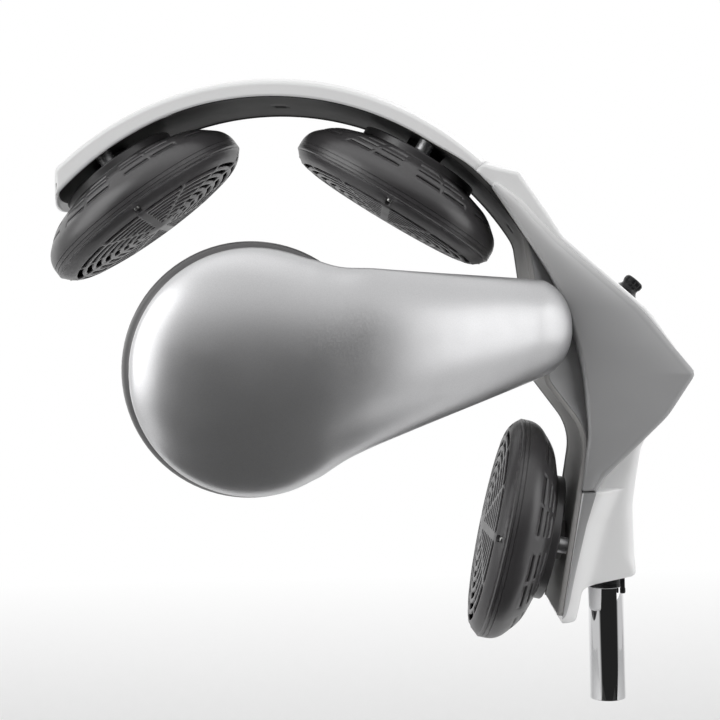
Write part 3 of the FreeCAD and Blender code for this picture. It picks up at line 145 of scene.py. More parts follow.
class StageSettings(bpy.types.PropertyGroup):
    """Floor, backdrop and light."""
    floor_drop: length("Floor drop", "From the mast's lower end down to the floor", 900.0)
    key_power: bpy.props.FloatProperty(
        name="Key light", description="Power of the main soft light", default=13.0, min=0.0, unit="POWER")
    world_level: bpy.props.FloatProperty(
        name="World light", description="Brightness of the surrounding light", default=0.66, min=0.0)


def settings(group):
    """One of the property groups of the scene."""
    return getattr(bpy.context.scene, "processor_" + group)


def mm(value):
    """A length property in millimetres."""
    return value / MM


# ================================================================ meshes from grids
class Sheet:
    """One grid of points, shaped (rows, columns, 3), with the way it closes and the cells it keeps."""

    def __init__(self, points, round_rows=False, round_columns=False, keep=None, flip=False, slot=0):
        self.points = np.asarray(points, float)
        self.round_rows = round_rows
        self.round_columns = round_columns
        self.keep = keep
        self.flip = flip
        self.slot = slot

    def moved(self, change, flip=False):
        """The same sheet with its points changed by a function."""
        return Sheet(change(self.points), self.round_rows, self.round_columns, self.keep,
                     self.flip != flip, self.slot)

    def shifted(self, offset):
        """The same sheet moved by (x, y, z)."""
        return self.moved(lambda points: points + np.asarray(offset))

    def spun(self, angle):
        """The same sheet turned about the Z axis: (x cos a - y sin a, x sin a + y cos a, z)."""
        cosine, sine = math.cos(angle), math.sin(angle)
        turn = np.array([[cosine, sine, 0.0], [-sine, cosine, 0.0], [0.0, 0.0, 1.0]])
        return self.moved(lambda points: points @ turn)

    def quads(self):
        """Corner numbers of each cell: its own, the next column's, the next of both, the next row's."""
        rows, columns = self.points.shape[:2]
        number = np.arange(rows * columns).reshape(rows, columns)
        if self.round_rows:
            number = np.vstack([number, number[:1]])
        if self.round_columns:
            number = np.hstack([number, number[:, :1]])
        corners = np.stack([number[:-1, :-1], number[:-1, 1:], number[1:, 1:], number[1:, :-1]], axis=-1)
        if self.keep is not None:
            corners = corners[self.keep]
        corners = corners.reshape(-1, 4)
        return corners[:, ::-1] if self.flip else corners


def mesh_piece(name, sheets, finishes, outward=False, sharp_deg=38.0):
    """Object made of sheets, welded where their points meet, smooth except at sharp edges.

    Outward turns the faces of closed sheets outwards; an open shell's faces already point the right way.
    """
    points = []
    quads = []
    slots = []
    start = 0
    for sheet in sheets:
        faces = sheet.quads()
        points.append(sheet.points.reshape(-1, 3) * MM)
        quads.append(faces + start)
        slots.append(np.full(len(faces), sheet.slot))
        start += sheet.points.shape[0] * sheet.points.shape[1]
    mesh = bpy.data.meshes.new(name)
    mesh.from_pydata(np.vstack(points), [], np.vstack(quads).tolist())
    mesh.polygons.foreach_set("material_index", np.concatenate(slots).astype(np.int32))
    for short_name in finishes:
        mesh.materials.append(finished(short_name))
    work = bmesh.new()
    work.from_mesh(mesh)
    bmesh.ops.remove_doubles(work, verts=work.verts, dist=WELD)
    bmesh.ops.dissolve_degenerate(work, edges=work.edges, dist=WELD / 10)
    loose = [vert for vert in work.verts if not vert.link_faces]
    bmesh.ops.delete(work, geom=loose, context="VERTS")
    if outward:
        bmesh.ops.recalc_face_normals(work, faces=work.faces)
    work.to_mesh(mesh)
    work.free()
    mesh.shade_smooth()
    mesh.set_sharp_from_angle(angle=math.radians(sharp_deg))
    piece = bpy.data.objects.new(name, mesh)
    bpy.context.scene.collection.objects.link(piece)
    return piece


def thicken(piece, wall):
    """Give a shell its wall in millimetres, on the side away from its faces' normals."""
    solid = piece.modifiers.new("Wall", "SOLIDIFY")
    solid.thickness = wall * MM
    solid.offset = -1.0
    solid.use_even_offset = False
    solid.use_quality_normals = True


def dress(piece, body, slot, *nodes):
    """Let a finished piece ride on its body and stand for its nodes; its slot is not used."""
    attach(piece, body)
    if nodes:
        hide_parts(*nodes)


def fit(name, sheets, finishes, body, slot, node, wall=0.0, sharp_deg=38.0):
    """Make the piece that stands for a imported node: a shell with a wall, or closed sheets turned outwards."""
    piece = mesh_piece(name, sheets, finishes, not wall, sharp_deg)
    if wall:
        thicken(piece, wall)
    dress(piece, body, slot, node)


def paint_nodes(short_name, *names):
    """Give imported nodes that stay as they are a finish."""
    material = finished(short_name)
    for name in names:
        slots = NODES[name].material_slots
        if len(slots) == 0:
            NODES[name].data.materials.append(material)
        for slot in slots:
            slot.material = material


# ================================================================ outlines
def bent_line(corners, step_deg=6.0):
    """Points of a line of (x, z, radius) corners: straight runs joined by tangent arcs.

    An arc's centre lies on the corner's bisector at radius / cos(half the turn) from the corner.
    """
    corners = np.asarray(corners, float)
    line = [corners[:1, :2]]
    for before, corner, after in zip(corners, corners[1:], corners[2:]):
        into = corner[:2] - before[:2]
        into = into / np.linalg.norm(into)
        away = after[:2] - corner[:2]
        away = away / np.linalg.norm(away)
        turn = math.acos(max(-1.0, min(1.0, float(into @ away))))
        if corner[2] <= 0 or turn < 1e-3:
            line.append(corner[None, :2])
            continue
        inward = (away - into) / np.linalg.norm(away - into)
        centre = corner[:2] + inward * corner[2] / math.cos(turn / 2)
        count = max(3, int(math.degrees(turn) / step_deg) + 2)
        angle = np.linspace(-turn / 2, turn / 2, count)
        along = (into + away) / np.linalg.norm(into + away)
        line.append(centre - corner[2] * (np.cos(angle)[:, None] * inward - np.sin(angle)[:, None] * along))
    line.append(corners[-1:, :2])
    return np.vstack(line)


def reach_of(line):
    """Distance of each point of a line from its start, measured along the line."""
    return np.concatenate([[0.0], np.cumsum(np.linalg.norm(np.diff(line, axis=0), axis=1))])


def points_at(line, places, at):
    """Points of a line (x, z) whose own points stand at the given places, read off at others."""
    return np.stack([np.interp(at, places, line[:, axis]) for axis in (0, 1)], axis=1)


def along_line(line, count):
    """Points at even distances along a line (x, z)."""
    reach = reach_of(line)
    return points_at(line, reach, np.linspace(0.0, 1.0, count) * reach[-1])


def line_normals(line):
    """Unit vectors to the left of a line's direction at each of its points."""
    along = np.gradient(line, axis=0)
    along = along / np.maximum(np.linalg.norm(along, axis=1, keepdims=True), 1e-9)
    return np.stack([-along[:, 1], along[:, 0]], axis=1)


def smoothstep(low, high, value):
    """0 below low, 1 above high, and the cubic 3t^2 - 2t^3 between."""
    share = np.clip((value - low) / (high - low), 0.0, 1.0)
    return share * share * (3 - 2 * share)


def soft_max(first, second, power):
    """The power mean (a^p + b^p)^(1/p), which is the larger value with a rounded change between them."""
    first = np.maximum(first, 1e-6)
    second = np.maximum(second, 1e-6)
    top = np.maximum(first, second)
    return top * ((first / top) ** power + (second / top) ** power) ** (1 / power)


def around_z(radius, angle, height):
    """Points x = r cos a, y = r sin a, z = height, the three spread over one grid."""
    return np.stack(np.broadcast_arrays(radius * np.cos(angle), radius * np.sin(angle), height), axis=-1)


def turned(profile, columns, flip=False):
    """Surface of revolution: x = r cos a, y = r sin a, z = z for each (r, z) of the profile.

    A profile that starts and ends on the axis makes a closed body.
    """
    angle = np.linspace(0.0, FULL_TURN, columns, endpoint=False)
    profile = np.asarray(profile, float)
    return Sheet(around_z(profile[:, :1], angle, profile[:, 1:2]), round_columns=True, flip=flip)


def closed_tube(path, radius, sides):
    """Round tube along a closed path: path + radius (cos a across + sin a up), both square to the path."""
    along = np.roll(path, -1, axis=0) - np.roll(path, 1, axis=0)
    along = along / np.linalg.norm(along, axis=1, keepdims=True)
    across = np.cross(along, (0.0, 0.0, 1.0))
    across = across / np.linalg.norm(across, axis=1, keepdims=True)
    up = np.cross(across, along)
    angle = np.linspace(0, FULL_TURN, sides, endpoint=False)
    ring = across[:, None] * np.cos(angle)[:, None] + up[:, None] * np.sin(angle)[:, None]
    return Sheet(path[:, None] + radius * ring, round_rows=True, round_columns=True)


class Place:
    """A frame to put shapes in: an origin in millimetres and three unit axes."""

    def __init__(self, origin, z_axis, x_hint):
        self.origin = np.asarray(origin, float)
        self.z_axis = np.asarray(z_axis, float) / np.linalg.norm(z_axis)
        y_axis = np.cross(self.z_axis, x_hint)
        self.y_axis = y_axis / np.linalg.norm(y_axis)
        self.x_axis = np.cross(self.y_axis, self.z_axis)

    def __call__(self, points):
        """Points of this frame in the part's frame: origin + x X + y Y + z Z."""
        axes = np.stack([self.x_axis, self.y_axis, self.z_axis])
        return self.origin + points @ axes


def other_side(points):
    """The points mirrored in the plane of symmetry."""
    return points * np.array([1.0, -1.0, 1.0])


def both_sides(left):
    """Each side's name with its sheet: the left one and its mirror image."""
    return zip(SIDES, (left, left.moved(other_side, True)))


# ================================================================ shared node groups
def new_group(name, inputs, outputs):
    """Empty shader node group with named sockets, given as (name, kind, default)."""
    group = bpy.data.node_groups.new(name, "ShaderNodeTree")
    for label, kind, default in inputs:
        socket = group.interface.new_socket(label, in_out="INPUT", socket_type=kind)
        socket.default_value = default
    for label, kind in outputs:
        group.interface.new_socket(label, in_out="OUTPUT", socket_type=kind)
    return group


class Wiring:
    """Short way to add nodes to a tree and link them."""

    def __init__(self, tree):
        self.tree = tree

    def add(self, kind, **values):
        """A node of a kind, with its properties or its inputs set by name."""
        node = self.tree.nodes.new(kind)
        for key, value in values.items():
            if hasattr(node, key):
                setattr(node, key, value)
            else:
                self.put(node, key.replace("_", " "), value)
        return node

    def put(self, node, socket, value):
        """Set an input, or link it when the value is another node's output."""
        target = node.inputs[socket]
        if isinstance(value, bpy.types.NodeSocket):
            self.tree.links.new(value, target)
        else:
            target.default_value = value

    def place(self):
        """Object coordinates: metres in the part's frame."""
        return self.add("ShaderNodeTexCoord").outputs["Object"]

    def parts(self, vector):
        """The X, Y and Z of a vector."""
        split = self.add("ShaderNodeSeparateXYZ")
        self.put(split, 0, vector)
        return split.outputs

    def noise(self, place, scale, detail, roughness):
        """Value of a noise texture at a place."""
        node = self.add("ShaderNodeTexNoise", Vector=place, Scale=scale, Detail=detail, Roughness=roughness)
        return node.outputs[0]

    def maths(self, operation, first, second, clamp=False):
        """Result of a Math node."""
        node = self.add("ShaderNodeMath", operation=operation, use_clamp=clamp)
        self.put(node, 0, first)
        self.put(node, 1, second)
        return node.outputs[0]

    def spread(self, value, low, high, to_low=0.0, to_high=1.0):
        """Result of a Map Range node."""
        node = self.add("ShaderNodeMapRange", Value=value, From_Min=low, From_Max=high, To_Min=to_low,
                        To_Max=to_high)
        return node.outputs["Result"]

    def mix(self, share, first, second):
        """Mix of two colours."""
        node = self.add("ShaderNodeMix", data_type="RGBA")
        self.put(node, 0, share)
        colour_inputs = [index for index, socket in enumerate(node.inputs) if socket.type == "RGBA"]
        for index, value in zip(colour_inputs, (first, second)):
            self.put(node, index, value)
        return [socket for socket in node.outputs if socket.type == "RGBA"][0]


WHITE = (1.0, 1.0, 1.0, 1.0)


def tone(name, factor=1.0):
    """A colour of the settings, made lighter or darker."""
    return [part * factor for part in getattr(settings("finish"), name)]


def four(rgb, scale=1.0):
    """A colour with full alpha, made lighter or darker."""
    return (rgb[0] * scale, rgb[1] * scale, rgb[2] * scale, 1.0)


def group_ends(group):
    """Wiring of a group, what it is given, and its output node."""
    wiring = Wiring(group)
    return wiring, wiring.add("NodeGroupInput").outputs, wiring.add("NodeGroupOutput")


def make_skin_group():
    """Moulded or sprayed skin: soft waves plus fine grain as a height, and cloudy roughness and colour."""
    group = new_group(
        "Moulded skin",
        [("Base", "NodeSocketColor", (0.5, 0.5, 0.5, 1.0)),
         ("Shade", "NodeSocketColor", (0.4, 0.4, 0.4, 1.0)),
         ("Grain size", "NodeSocketFloat", 900.0), ("Grain height", "NodeSocketFloat", 0.5),
         ("Wave height", "NodeSocketFloat", 0.5), ("Roughness", "NodeSocketFloat", 0.4),
         ("Roughness spread", "NodeSocketFloat", 0.08)],
        [("Color", "NodeSocketColor"), ("Roughness", "NodeSocketFloat"), ("Height", "NodeSocketFloat")])
    wiring, given, result = group_ends(group)
    place = wiring.place()
    cloud = wiring.noise(place, 9.0, 3.0, 0.55)
    smear = wiring.noise(place, 42.0, 4.0, 0.6)
    grain = wiring.noise(place, given["Grain size"], 2.0, 0.5)
    wave = wiring.noise(place, 60.0, 1.0, 0.4)
    share = wiring.spread(cloud, 0.35, 0.7)
    wiring.put(result, "Color", wiring.mix(share, given["Base"], given["Shade"]))
    swing = wiring.maths("MULTIPLY", wiring.maths("SUBTRACT", smear, 0.5), given["Roughness spread"])
    level = wiring.maths("ADD", given["Roughness"], wiring.maths("MULTIPLY", swing, 2.0), clamp=True)
    wiring.put(result, "Roughness", level)
    fine = wiring.maths("MULTIPLY", grain, given["Grain height"])
    coarse = wiring.maths("MULTIPLY", wave, given["Wave height"])
    wiring.put(result, "Height", wiring.maths("ADD", fine, coarse))
    return group


def make_wear_group():
    """Wear along edges: sharp outward edges, broken up by noise, as a mask and a mixed colour."""
    group = new_group(
        "Edge wear",
        [("Color", "NodeSocketColor", (0.5, 0.5, 0.5, 1.0)),
         ("Worn", "NodeSocketColor", (0.7, 0.7, 0.7, 1.0)),
         ("Amount", "NodeSocketFloat", 0.4)],
        [("Color", "NodeSocketColor"), ("Mask", "NodeSocketFloat")])
    wiring, given, result = group_ends(group)
    place = wiring.place()
    edge = wiring.add("ShaderNodeNewGeometry").outputs["Pointiness"]
    sharp = wiring.spread(edge, 0.515, 0.58)
    broken = wiring.spread(wiring.noise(place, 160.0, 4.0, 0.65), 0.35, 0.65)
    patches = wiring.maths("MULTIPLY", sharp, broken)
    mask = wiring.maths("MULTIPLY", patches, given["Amount"], clamp=True)
    wiring.put(result, "Mask", mask)
    wiring.put(result, "Color", wiring.mix(mask, given["Color"], given["Worn"]))
    return group


def make_dust_group():
    """Dust on faces turned up: the normal's Z, broken up by noise, as a colour and a roughness."""
    group = new_group(
        "Settled dust",
        [("Color", "NodeSocketColor", (0.5, 0.5, 0.5, 1.0)), ("Roughness", "NodeSocketFloat", 0.4),
         ("Amount", "NodeSocketFloat", 0.2)],
        [("Color", "NodeSocketColor"), ("Roughness", "NodeSocketFloat")])
    wiring, given, result = group_ends(group)
    place = wiring.place()
    normal = wiring.add("ShaderNodeNewGeometry").outputs["Normal"]
    upward = wiring.spread(wiring.parts(normal)["Z"], 0.2, 1.0)
    flecks = wiring.spread(wiring.noise(place, 420.0, 6.0, 0.75), 0.48, 0.72)
    patches = wiring.maths("MULTIPLY", upward, flecks)
    mask = wiring.maths("MULTIPLY", patches, given["Amount"], clamp=True)
    wiring.put(result, "Color", wiring.mix(mask, given["Color"], (0.62, 0.60, 0.57, 1.0)))
    rough = wiring.maths("ADD", given["Roughness"], wiring.maths("MULTIPLY", mask, 0.5), clamp=True)
    wiring.put(result, "Roughness", rough)
    return group


def make_brush_group():
    """Fine lines left by turning or drawing, as a height and a roughness that run round or along one axis."""
    group = new_group(
        "Tool marks",
        [("Stretch", "NodeSocketVector", (1.0, 1.0, 40.0)), ("Roughness", "NodeSocketFloat", 0.3),
         ("Depth", "NodeSocketFloat", 0.5)],
        [("Roughness", "NodeSocketFloat"), ("Height", "NodeSocketFloat")])
    wiring, given, result = group_ends(group)
    place = wiring.place()
    drawn = wiring.add("ShaderNodeVectorMath", operation="MULTIPLY")
    wiring.put(drawn, 0, place)
    wiring.put(drawn, 1, given["Stretch"])
    lines = wiring.noise(drawn.outputs[0], 90.0, 4.0, 0.7)
    swing = wiring.maths("MULTIPLY", wiring.maths("SUBTRACT", lines, 0.5), 0.35)
    wiring.put(result, "Roughness", wiring.maths("ADD", given["Roughness"], swing, clamp=True))
    wiring.put(result, "Height", wiring.maths("MULTIPLY", lines, given["Depth"]))
    return group


GROUPS = {}


def shared(name):
    """A shared node group, built the first time it is asked for."""
    makers = {
        "skin": make_skin_group,
        "wear": make_wear_group,
        "dust": make_dust_group,
        "brush": make_brush_group,
    }
    if name not in GROUPS:
        GROUPS[name] = makers[name]()
    return GROUPS[name]


# ================================================================ materials
class Finish:
    """A material with a Principled shader and the wiring to dress it."""

    def __init__(self, name, **constants):
        self.material = bpy.data.materials.new(name)
        self.material.use_nodes = True
        self.wiring = Wiring(self.material.node_tree)
        self.shader = self.material.node_tree.nodes["Principled BSDF"]
        for key, value in constants.items():
            self.shader.inputs[key.replace("_", " ")].default_value = value

    def group(self, name, **values):
        """One of the shared groups, with its inputs set by name."""
        return self.wiring.add("ShaderNodeGroup", node_tree=shared(name), **values)

    def wire(self, socket, value):
        """Feed the shader."""
        self.wiring.put(self.shader, socket, value)

    def bump(self, height, distance_mm):
        """Feed a height to the shader's normal."""
        node = self.wiring.add("ShaderNodeBump", Strength=1.0, Distance=distance_mm * MM, Height=height)
        self.wire("Normal", node.outputs["Normal"])


def skin_finish(name, rgb, rough, grain, height, wave, shade=0.93, spread=0.06, wear=0.0, worn=1.5, dust=0.0,
                **constants):
    """Moulded or sprayed plastic: cloudy colour, grain, waves, and edge wear or dust where asked."""
    look = Finish(name, **constants)
    skin = look.group("skin", Base=four(rgb), Shade=four(rgb, shade), Grain_size=grain, Grain_height=height,
                      Wave_height=wave, Roughness=rough, Roughness_spread=spread)
    tint = skin.outputs["Color"]
    level = skin.outputs["Roughness"]
    if wear:
        rubbed = look.group("wear", Color=tint, Worn=four([min(1.0, part * worn + 0.02) for part in rgb]),
                            Amount=wear)
        tint = rubbed.outputs["Color"]
    if dust:
        dusty = look.group("dust", Color=tint, Roughness=level, Amount=dust)
        tint = dusty.outputs["Color"]
        level = dusty.outputs["Roughness"]
    look.wire("Base Color", tint)
    look.wire("Roughness", level)
    look.bump(skin.outputs["Height"], 0.05)
    return look


def plastic(*values, **further):
    """Material of a moulded or sprayed finish that needs no more wiring."""
    return skin_finish(*values, **further).material


def paint_light_and_shade_by_height(look, above, low, high):
    """Paint light and shade onto a finish: change its colour to another one between two heights in metres."""
    wiring = look.wiring
    share = wiring.spread(wiring.parts(wiring.place())["Z"], low, high)
    below = look.shader.inputs["Base Color"].links[0].from_socket
    look.wire("Base Color", wiring.mix(share, below, above))


def lacquer_with_painted_light_and_shade(name, low_rgb, high_rgb, low, high, spread):
    """Satin lacquer with fine metal flakes and painted light and shade: its colour changes from one to another
    between two heights.
    """
    look = skin_finish(name, low_rgb, 0.42, 1500.0, 0.35, 0.7, shade=0.95, spread=spread, Metallic=0.2,
                       Specular_IOR_Level=0.4, Coat_Weight=0.12, Coat_Roughness=0.25)
    paint_light_and_shade_by_height(look, high_rgb, low, high)
    return look.material


def cheek_lacquer_with_painted_light():
    """Silver-grey lacquer with painted light: paler towards the arch."""
    # Painted light: above 0.355 m the cheek's colour fades to a near-white.
    above = four(tone("white"), 0.92)
    return lacquer_with_painted_light_and_shade("Silver-grey lacquer", tone("cheek"), above, 0.355, 0.465, 0.05)


def painted_shade_tail_finish():
    """Painted shade on the white neck's edge: the cheeks' grey, paler towards the foot."""
    return lacquer_with_painted_light_and_shade("Tail lacquer", tone("cheek", 1.45), four(tone("cheek")), 0.10, 0.185, 0.06)


def pearl_lacquer():
    """Pearl silver lacquer: flakes that vary the colour and roughness under a soft coat."""
    rgb = tone("silver")
    look = Finish("Pearl lacquer", Metallic=0.88, Specular_IOR_Level=0.5, Coat_Weight=0.25,
                  Coat_Roughness=0.18)
    skin = look.group("skin", Base=four(rgb), Shade=four(rgb, 0.95), Grain_size=1600.0, Grain_height=0.25,
                      Wave_height=0.5, Roughness=0.36, Roughness_spread=0.05)
    wiring = look.wiring
    flakes = wiring.add("ShaderNodeTexVoronoi", Vector=wiring.place(), Scale=2600.0)
    split = wiring.add("ShaderNodeSeparateColor", Color=flakes.outputs["Color"])
    glint = wiring.spread(split.outputs[0], 0.0, 1.0, 0.0, 0.35)
    tint = wiring.mix(glint, skin.outputs["Color"], four(rgb, 1.25))
    look.wire("Base Color", tint)
    look.wire("Roughness", skin.outputs["Roughness"])
    look.bump(skin.outputs["Height"], 0.04)
    return look.material


def liner_moulding_with_painted_shade():
    """Satin grey moulding of the arch's inner skin, with painted shade overhead: darker there than behind the
    head.
    """
    rgb = tone("liner")
    look = skin_finish("Grey moulding", rgb, 0.60, 1100.0, 0.5, 0.5, wear=0.15, dust=0.04,
                       Specular_IOR_Level=0.15)
    # Painted shade: above 0.44 m the colour falls to 0.13 of the liner's.
    paint_light_and_shade_by_height(look, four(rgb, 0.13), 0.385, 0.44)
    return look.material


ALONG_X, ALONG_Y, ALONG_Z = (30.0, 1.0, 1.0), (1.0, 30.0, 1.0), (1.0, 1.0, 30.0)


def metal_finish(name, rgb, rough, stretch, depth):
    """Bare or plated metal with handling smears and tool marks, close together along the stretched axis."""
    look = Finish(name, Metallic=1.0)
    marks = look.group("brush", Stretch=stretch, Roughness=rough, Depth=depth)
    skin = look.group("skin", Base=four(rgb), Shade=four(rgb, 0.9), Roughness=rough, Grain_height=0.0)
    look.wire("Base Color", skin.outputs["Color"])
    look.wire("Roughness", marks.outputs["Roughness"])
    look.bump(marks.outputs["Height"], 0.02)
    return look.material


def chrome_plate():
    """Polished chrome with faint waves and a few smears."""
    rgb = tone("chrome")
    look = Finish("Chrome plate", Metallic=1.0)
    skin = look.group("skin", Base=four(rgb), Shade=four(rgb, 0.97), Roughness=0.035,
                      Roughness_spread=0.03, Grain_height=0.0, Wave_height=0.15)
    look.wire("Base Color", skin.outputs["Color"])
    look.wire("Roughness", skin.outputs["Roughness"])
    look.bump(skin.outputs["Height"], 0.02)
    return look.material


def circuit_board():
    """Green solder mask with lighter tracks under it."""
    look = Finish("Circuit board", Roughness=0.35)
    tracks = look.wiring.add(
        "ShaderNodeTexBrick", Vector=look.wiring.place(), Scale=160.0, Color1=(0.015, 0.10, 0.035, 1.0),
        Color2=(0.02, 0.14, 0.05, 1.0), Mortar=(0.03, 0.2, 0.08, 1.0))
    look.wire("Base Color", tracks.outputs["Color"])
    return look.material


def backdrop_material():
    """Pale matt sweep: plain white high up to the camera and to reflections, shaded near the floor."""
    look = Finish("Pale sweep", Roughness=0.85, Specular_IOR_Level=0.2)
    wiring = look.wiring
    grain = wiring.noise(wiring.place(), 35.0, 3.0, 0.6)
    look.wire("Base Color", wiring.mix(grain, (0.80, 0.80, 0.80, 1.0), (0.84, 0.84, 0.84, 1.0)))
    high = wiring.spread(wiring.parts(wiring.place())["Z"], -0.75, -0.25)
    rays = wiring.add("ShaderNodeLightPath").outputs
    seen = wiring.maths("MAXIMUM", rays["Is Camera Ray"],
                        wiring.maths("MAXIMUM", rays["Is Glossy Ray"], rays["Is Transmission Ray"]))
    glow = wiring.add("ShaderNodeEmission", Color=WHITE)
    blend = wiring.add("ShaderNodeMixShader")
    wiring.put(blend, 0, wiring.maths("MULTIPLY", seen, high))
    wiring.put(blend, 1, look.shader.outputs[0])
    wiring.put(blend, 2, glow.outputs[0])
    wiring.put(wiring.tree.nodes["Material Output"], "Surface", blend.outputs[0])
    return look.material


# Each gives a material: first those with a function of their own, then plastics and coatings as name, colour,
# roughness, grain size, grain height, wave height and further values, then metals.
FINISHES = {
    # Cheek lacquer with painted light towards the arch.
    "cheek": cheek_lacquer_with_painted_light,
    # Painted shade on the neck's edge below the cheeks.
    "tail": painted_shade_tail_finish,
    "pearl": pearl_lacquer,
    "liner": liner_moulding_with_painted_shade,
    "chrome": chrome_plate,
    "board": circuit_board,
    "sweep": backdrop_material,
    # White gloss lacquer: faint orange peel under a clear coat.
    "white": lambda: plastic(
        "White lacquer", tone("white"), 0.30, 700.0, 0.12, 0.9, shade=0.975, spread=0.05,
        Specular_IOR_Level=0.45, Coat_Weight=0.35, Coat_Roughness=0.12),
    # Satin lacquer of the hinge pockets, a little darker than the cheeks.
    "pocket": lambda: plastic(
        "Pocket lacquer", tone("cheek", 0.8), 0.45, 1400.0, 0.4, 0.5, dust=0.08, Metallic=0.1,
        Specular_IOR_Level=0.4),
    # Anthracite moulding with spark-eroded grain, paler on its edges, with a little dust.
    "pod": lambda: plastic(
        "Anthracite moulding", tone("pod"), 0.33, 1500.0, 1.0, 0.4, shade=0.85, spread=0.10, wear=0.5,
        worn=1.9, dust=0.05, Specular_IOR_Level=1.0),
    # The same, a shade paler and with more wear on its edges.
    "grille": lambda: plastic(
        "Grille moulding", tone("pod", 1.25), 0.36, 1700.0, 0.8, 0.3, shade=0.85, spread=0.10, wear=0.7,
        worn=2.2, dust=0.05, Specular_IOR_Level=0.6),
    "gloss": lambda: plastic(
        "Black gloss", tone("black"), 0.26, 1200.0, 0.2, 0.3, spread=0.08, wear=0.1, worn=2.0, dust=0.01,
        Specular_IOR_Level=0.35),
    "satin": lambda: plastic(
        "Black satin", tone("black"), 0.34, 1500.0, 0.8, 0.3, wear=0.4, worn=5.0, Specular_IOR_Level=0.5),
    # Powder coat on the steel inside.
    "paint": lambda: plastic(
        "Powder coat", (0.05, 0.05, 0.052), 0.5, 700.0, 2.0, 0.8, wear=0.5, worn=4.0,
        Specular_IOR_Level=0.45),
    # Window of the display, almost black, with a hard gloss.
    "window": lambda: plastic(
        "Smoked window", (0.012, 0.013, 0.016), 0.06, 900.0, 0.0, 0.1, spread=0.04, Specular_IOR_Level=0.6,
        Coat_Weight=0.6, Coat_Roughness=0.03),
    "print": lambda: plastic("White print", (0.75, 0.76, 0.78), 0.5, 900.0, 0.3, 0.1),
    # Card that carries the coils: flaky and slightly golden, darkened as painted shade inside the pod.
    "mica": lambda: plastic(
        "Mica card", (0.10, 0.085, 0.065), 0.6, 500.0, 1.0, 0.5, shade=0.6, spread=0.15),
    # Milky plastic of the thrust bush.
    "bush": lambda: plastic(
        "Natural acetal", (0.70, 0.69, 0.64), 0.4, 900.0, 0.4, 0.3, Subsurface_Weight=0.15,
        Subsurface_Scale=0.004),
    "felt": lambda: plastic("Black felt", (0.02, 0.02, 0.02), 0.9, 400.0, 1.0, 0.2),
    "aluminium": lambda: metal_finish("Turned aluminium", (0.80, 0.80, 0.81), 0.44, ALONG_Z, 0.4),
    # Painted shade: the pods' bright reflector made nearly black, so the vents and grille gaps read dark.
    "sheet": lambda: metal_finish("Blued sheet", (0.018, 0.018, 0.020), 0.45, ALONG_X, 0.3),
    "steel": lambda: metal_finish("Plated steel", (0.50, 0.50, 0.49), 0.32, ALONG_Y, 0.3),
    "brass": lambda: metal_finish("Yellow plated steel", tone("brass"), 0.28, ALONG_X, 0.3),
    "wire": lambda: metal_finish("Heating wire", (0.14, 0.12, 0.105), 0.5, (1.0, 1.0, 1.0), 0.2),
}
MADE_FINISHES = {}


def finished(name):
    """A material by its short name, made the first time it is asked for."""
    if name not in MADE_FINISHES:
        MADE_FINISHES[name] = FINISHES[name]()
    return MADE_FINISHES[name]


# ================================================================ building blocks
def rounded_loop(half_x, half_y, radius, per_corner=4):
    """Outline of a rectangle with round corners, anticlockwise: corner centres plus quarter circles."""
    radius = min(radius, half_x, half_y)
    quarter = np.linspace(0, math.pi / 2, per_corner)
    loop = []
    for turn, (sign_x, sign_y) in enumerate([(1, 1), (-1, 1), (-1, -1), (1, -1)]):
        angle = quarter + turn * math.pi / 2
        loop.append(np.stack([sign_x * (half_x - radius) + radius * np.cos(angle),
                              sign_y * (half_y - radius) + radius * np.sin(angle)], axis=1))
    return np.vstack(loop)


def capped(loops, slot=0):
    """Closed body through loops of equally many points, each end drawn in to the middle of its loop."""
    loops = [np.asarray(loop, float) for loop in loops]
    first = np.broadcast_to(loops[0].mean(axis=0), loops[0].shape)
    last = np.broadcast_to(loops[-1].mean(axis=0), loops[-1].shape)
    return Sheet(np.stack([first] + loops + [last]), round_columns=True, slot=slot)


def raised(loop, height):
    """A flat loop lifted to a height."""
    return np.column_stack([loop, np.full(len(loop), float(height))])


def block_body(half_x, half_y, low, high, radius, edge, slot=0):
    """Block with round upright corners and chamfered rims: four loops, the outer two drawn in by the edge."""
    wide = rounded_loop(half_x, half_y, radius)
    narrow = rounded_loop(half_x - edge, half_y - edge, radius)
    return capped([raised(narrow, low), raised(wide, low + edge), raised(wide, high - edge),
                   raised(narrow, high)], slot)


def screw_head(radius, low, high):
    """Round screw head with a cross recess: circles drawn in to the outline of a plus, which then sinks."""
    arm = radius * 0.15
    reach = radius * 0.55
    plus = np.array([(reach, -arm), (reach, arm), (arm, arm), (arm, reach), (-arm, reach), (-arm, arm),
                     (-reach, arm), (-reach, -arm), (-arm, -arm), (-arm, -reach), (arm, -reach), (arm, -arm)])
    plus = np.repeat(plus, 3, axis=0)
    angle = math.atan2(-arm, reach) + np.linspace(0, FULL_TURN, len(plus), endpoint=False)
    circle = radius * np.stack([np.cos(angle), np.sin(angle)], axis=1)
    height = high - low
    return capped([
        raised(circle, low), raised(circle, low + 0.5 * height), raised(circle * 0.93, low + 0.78 * height),
        raised(circle * 0.75, high), raised(plus, high), raised(plus, low + 0.35 * height)])


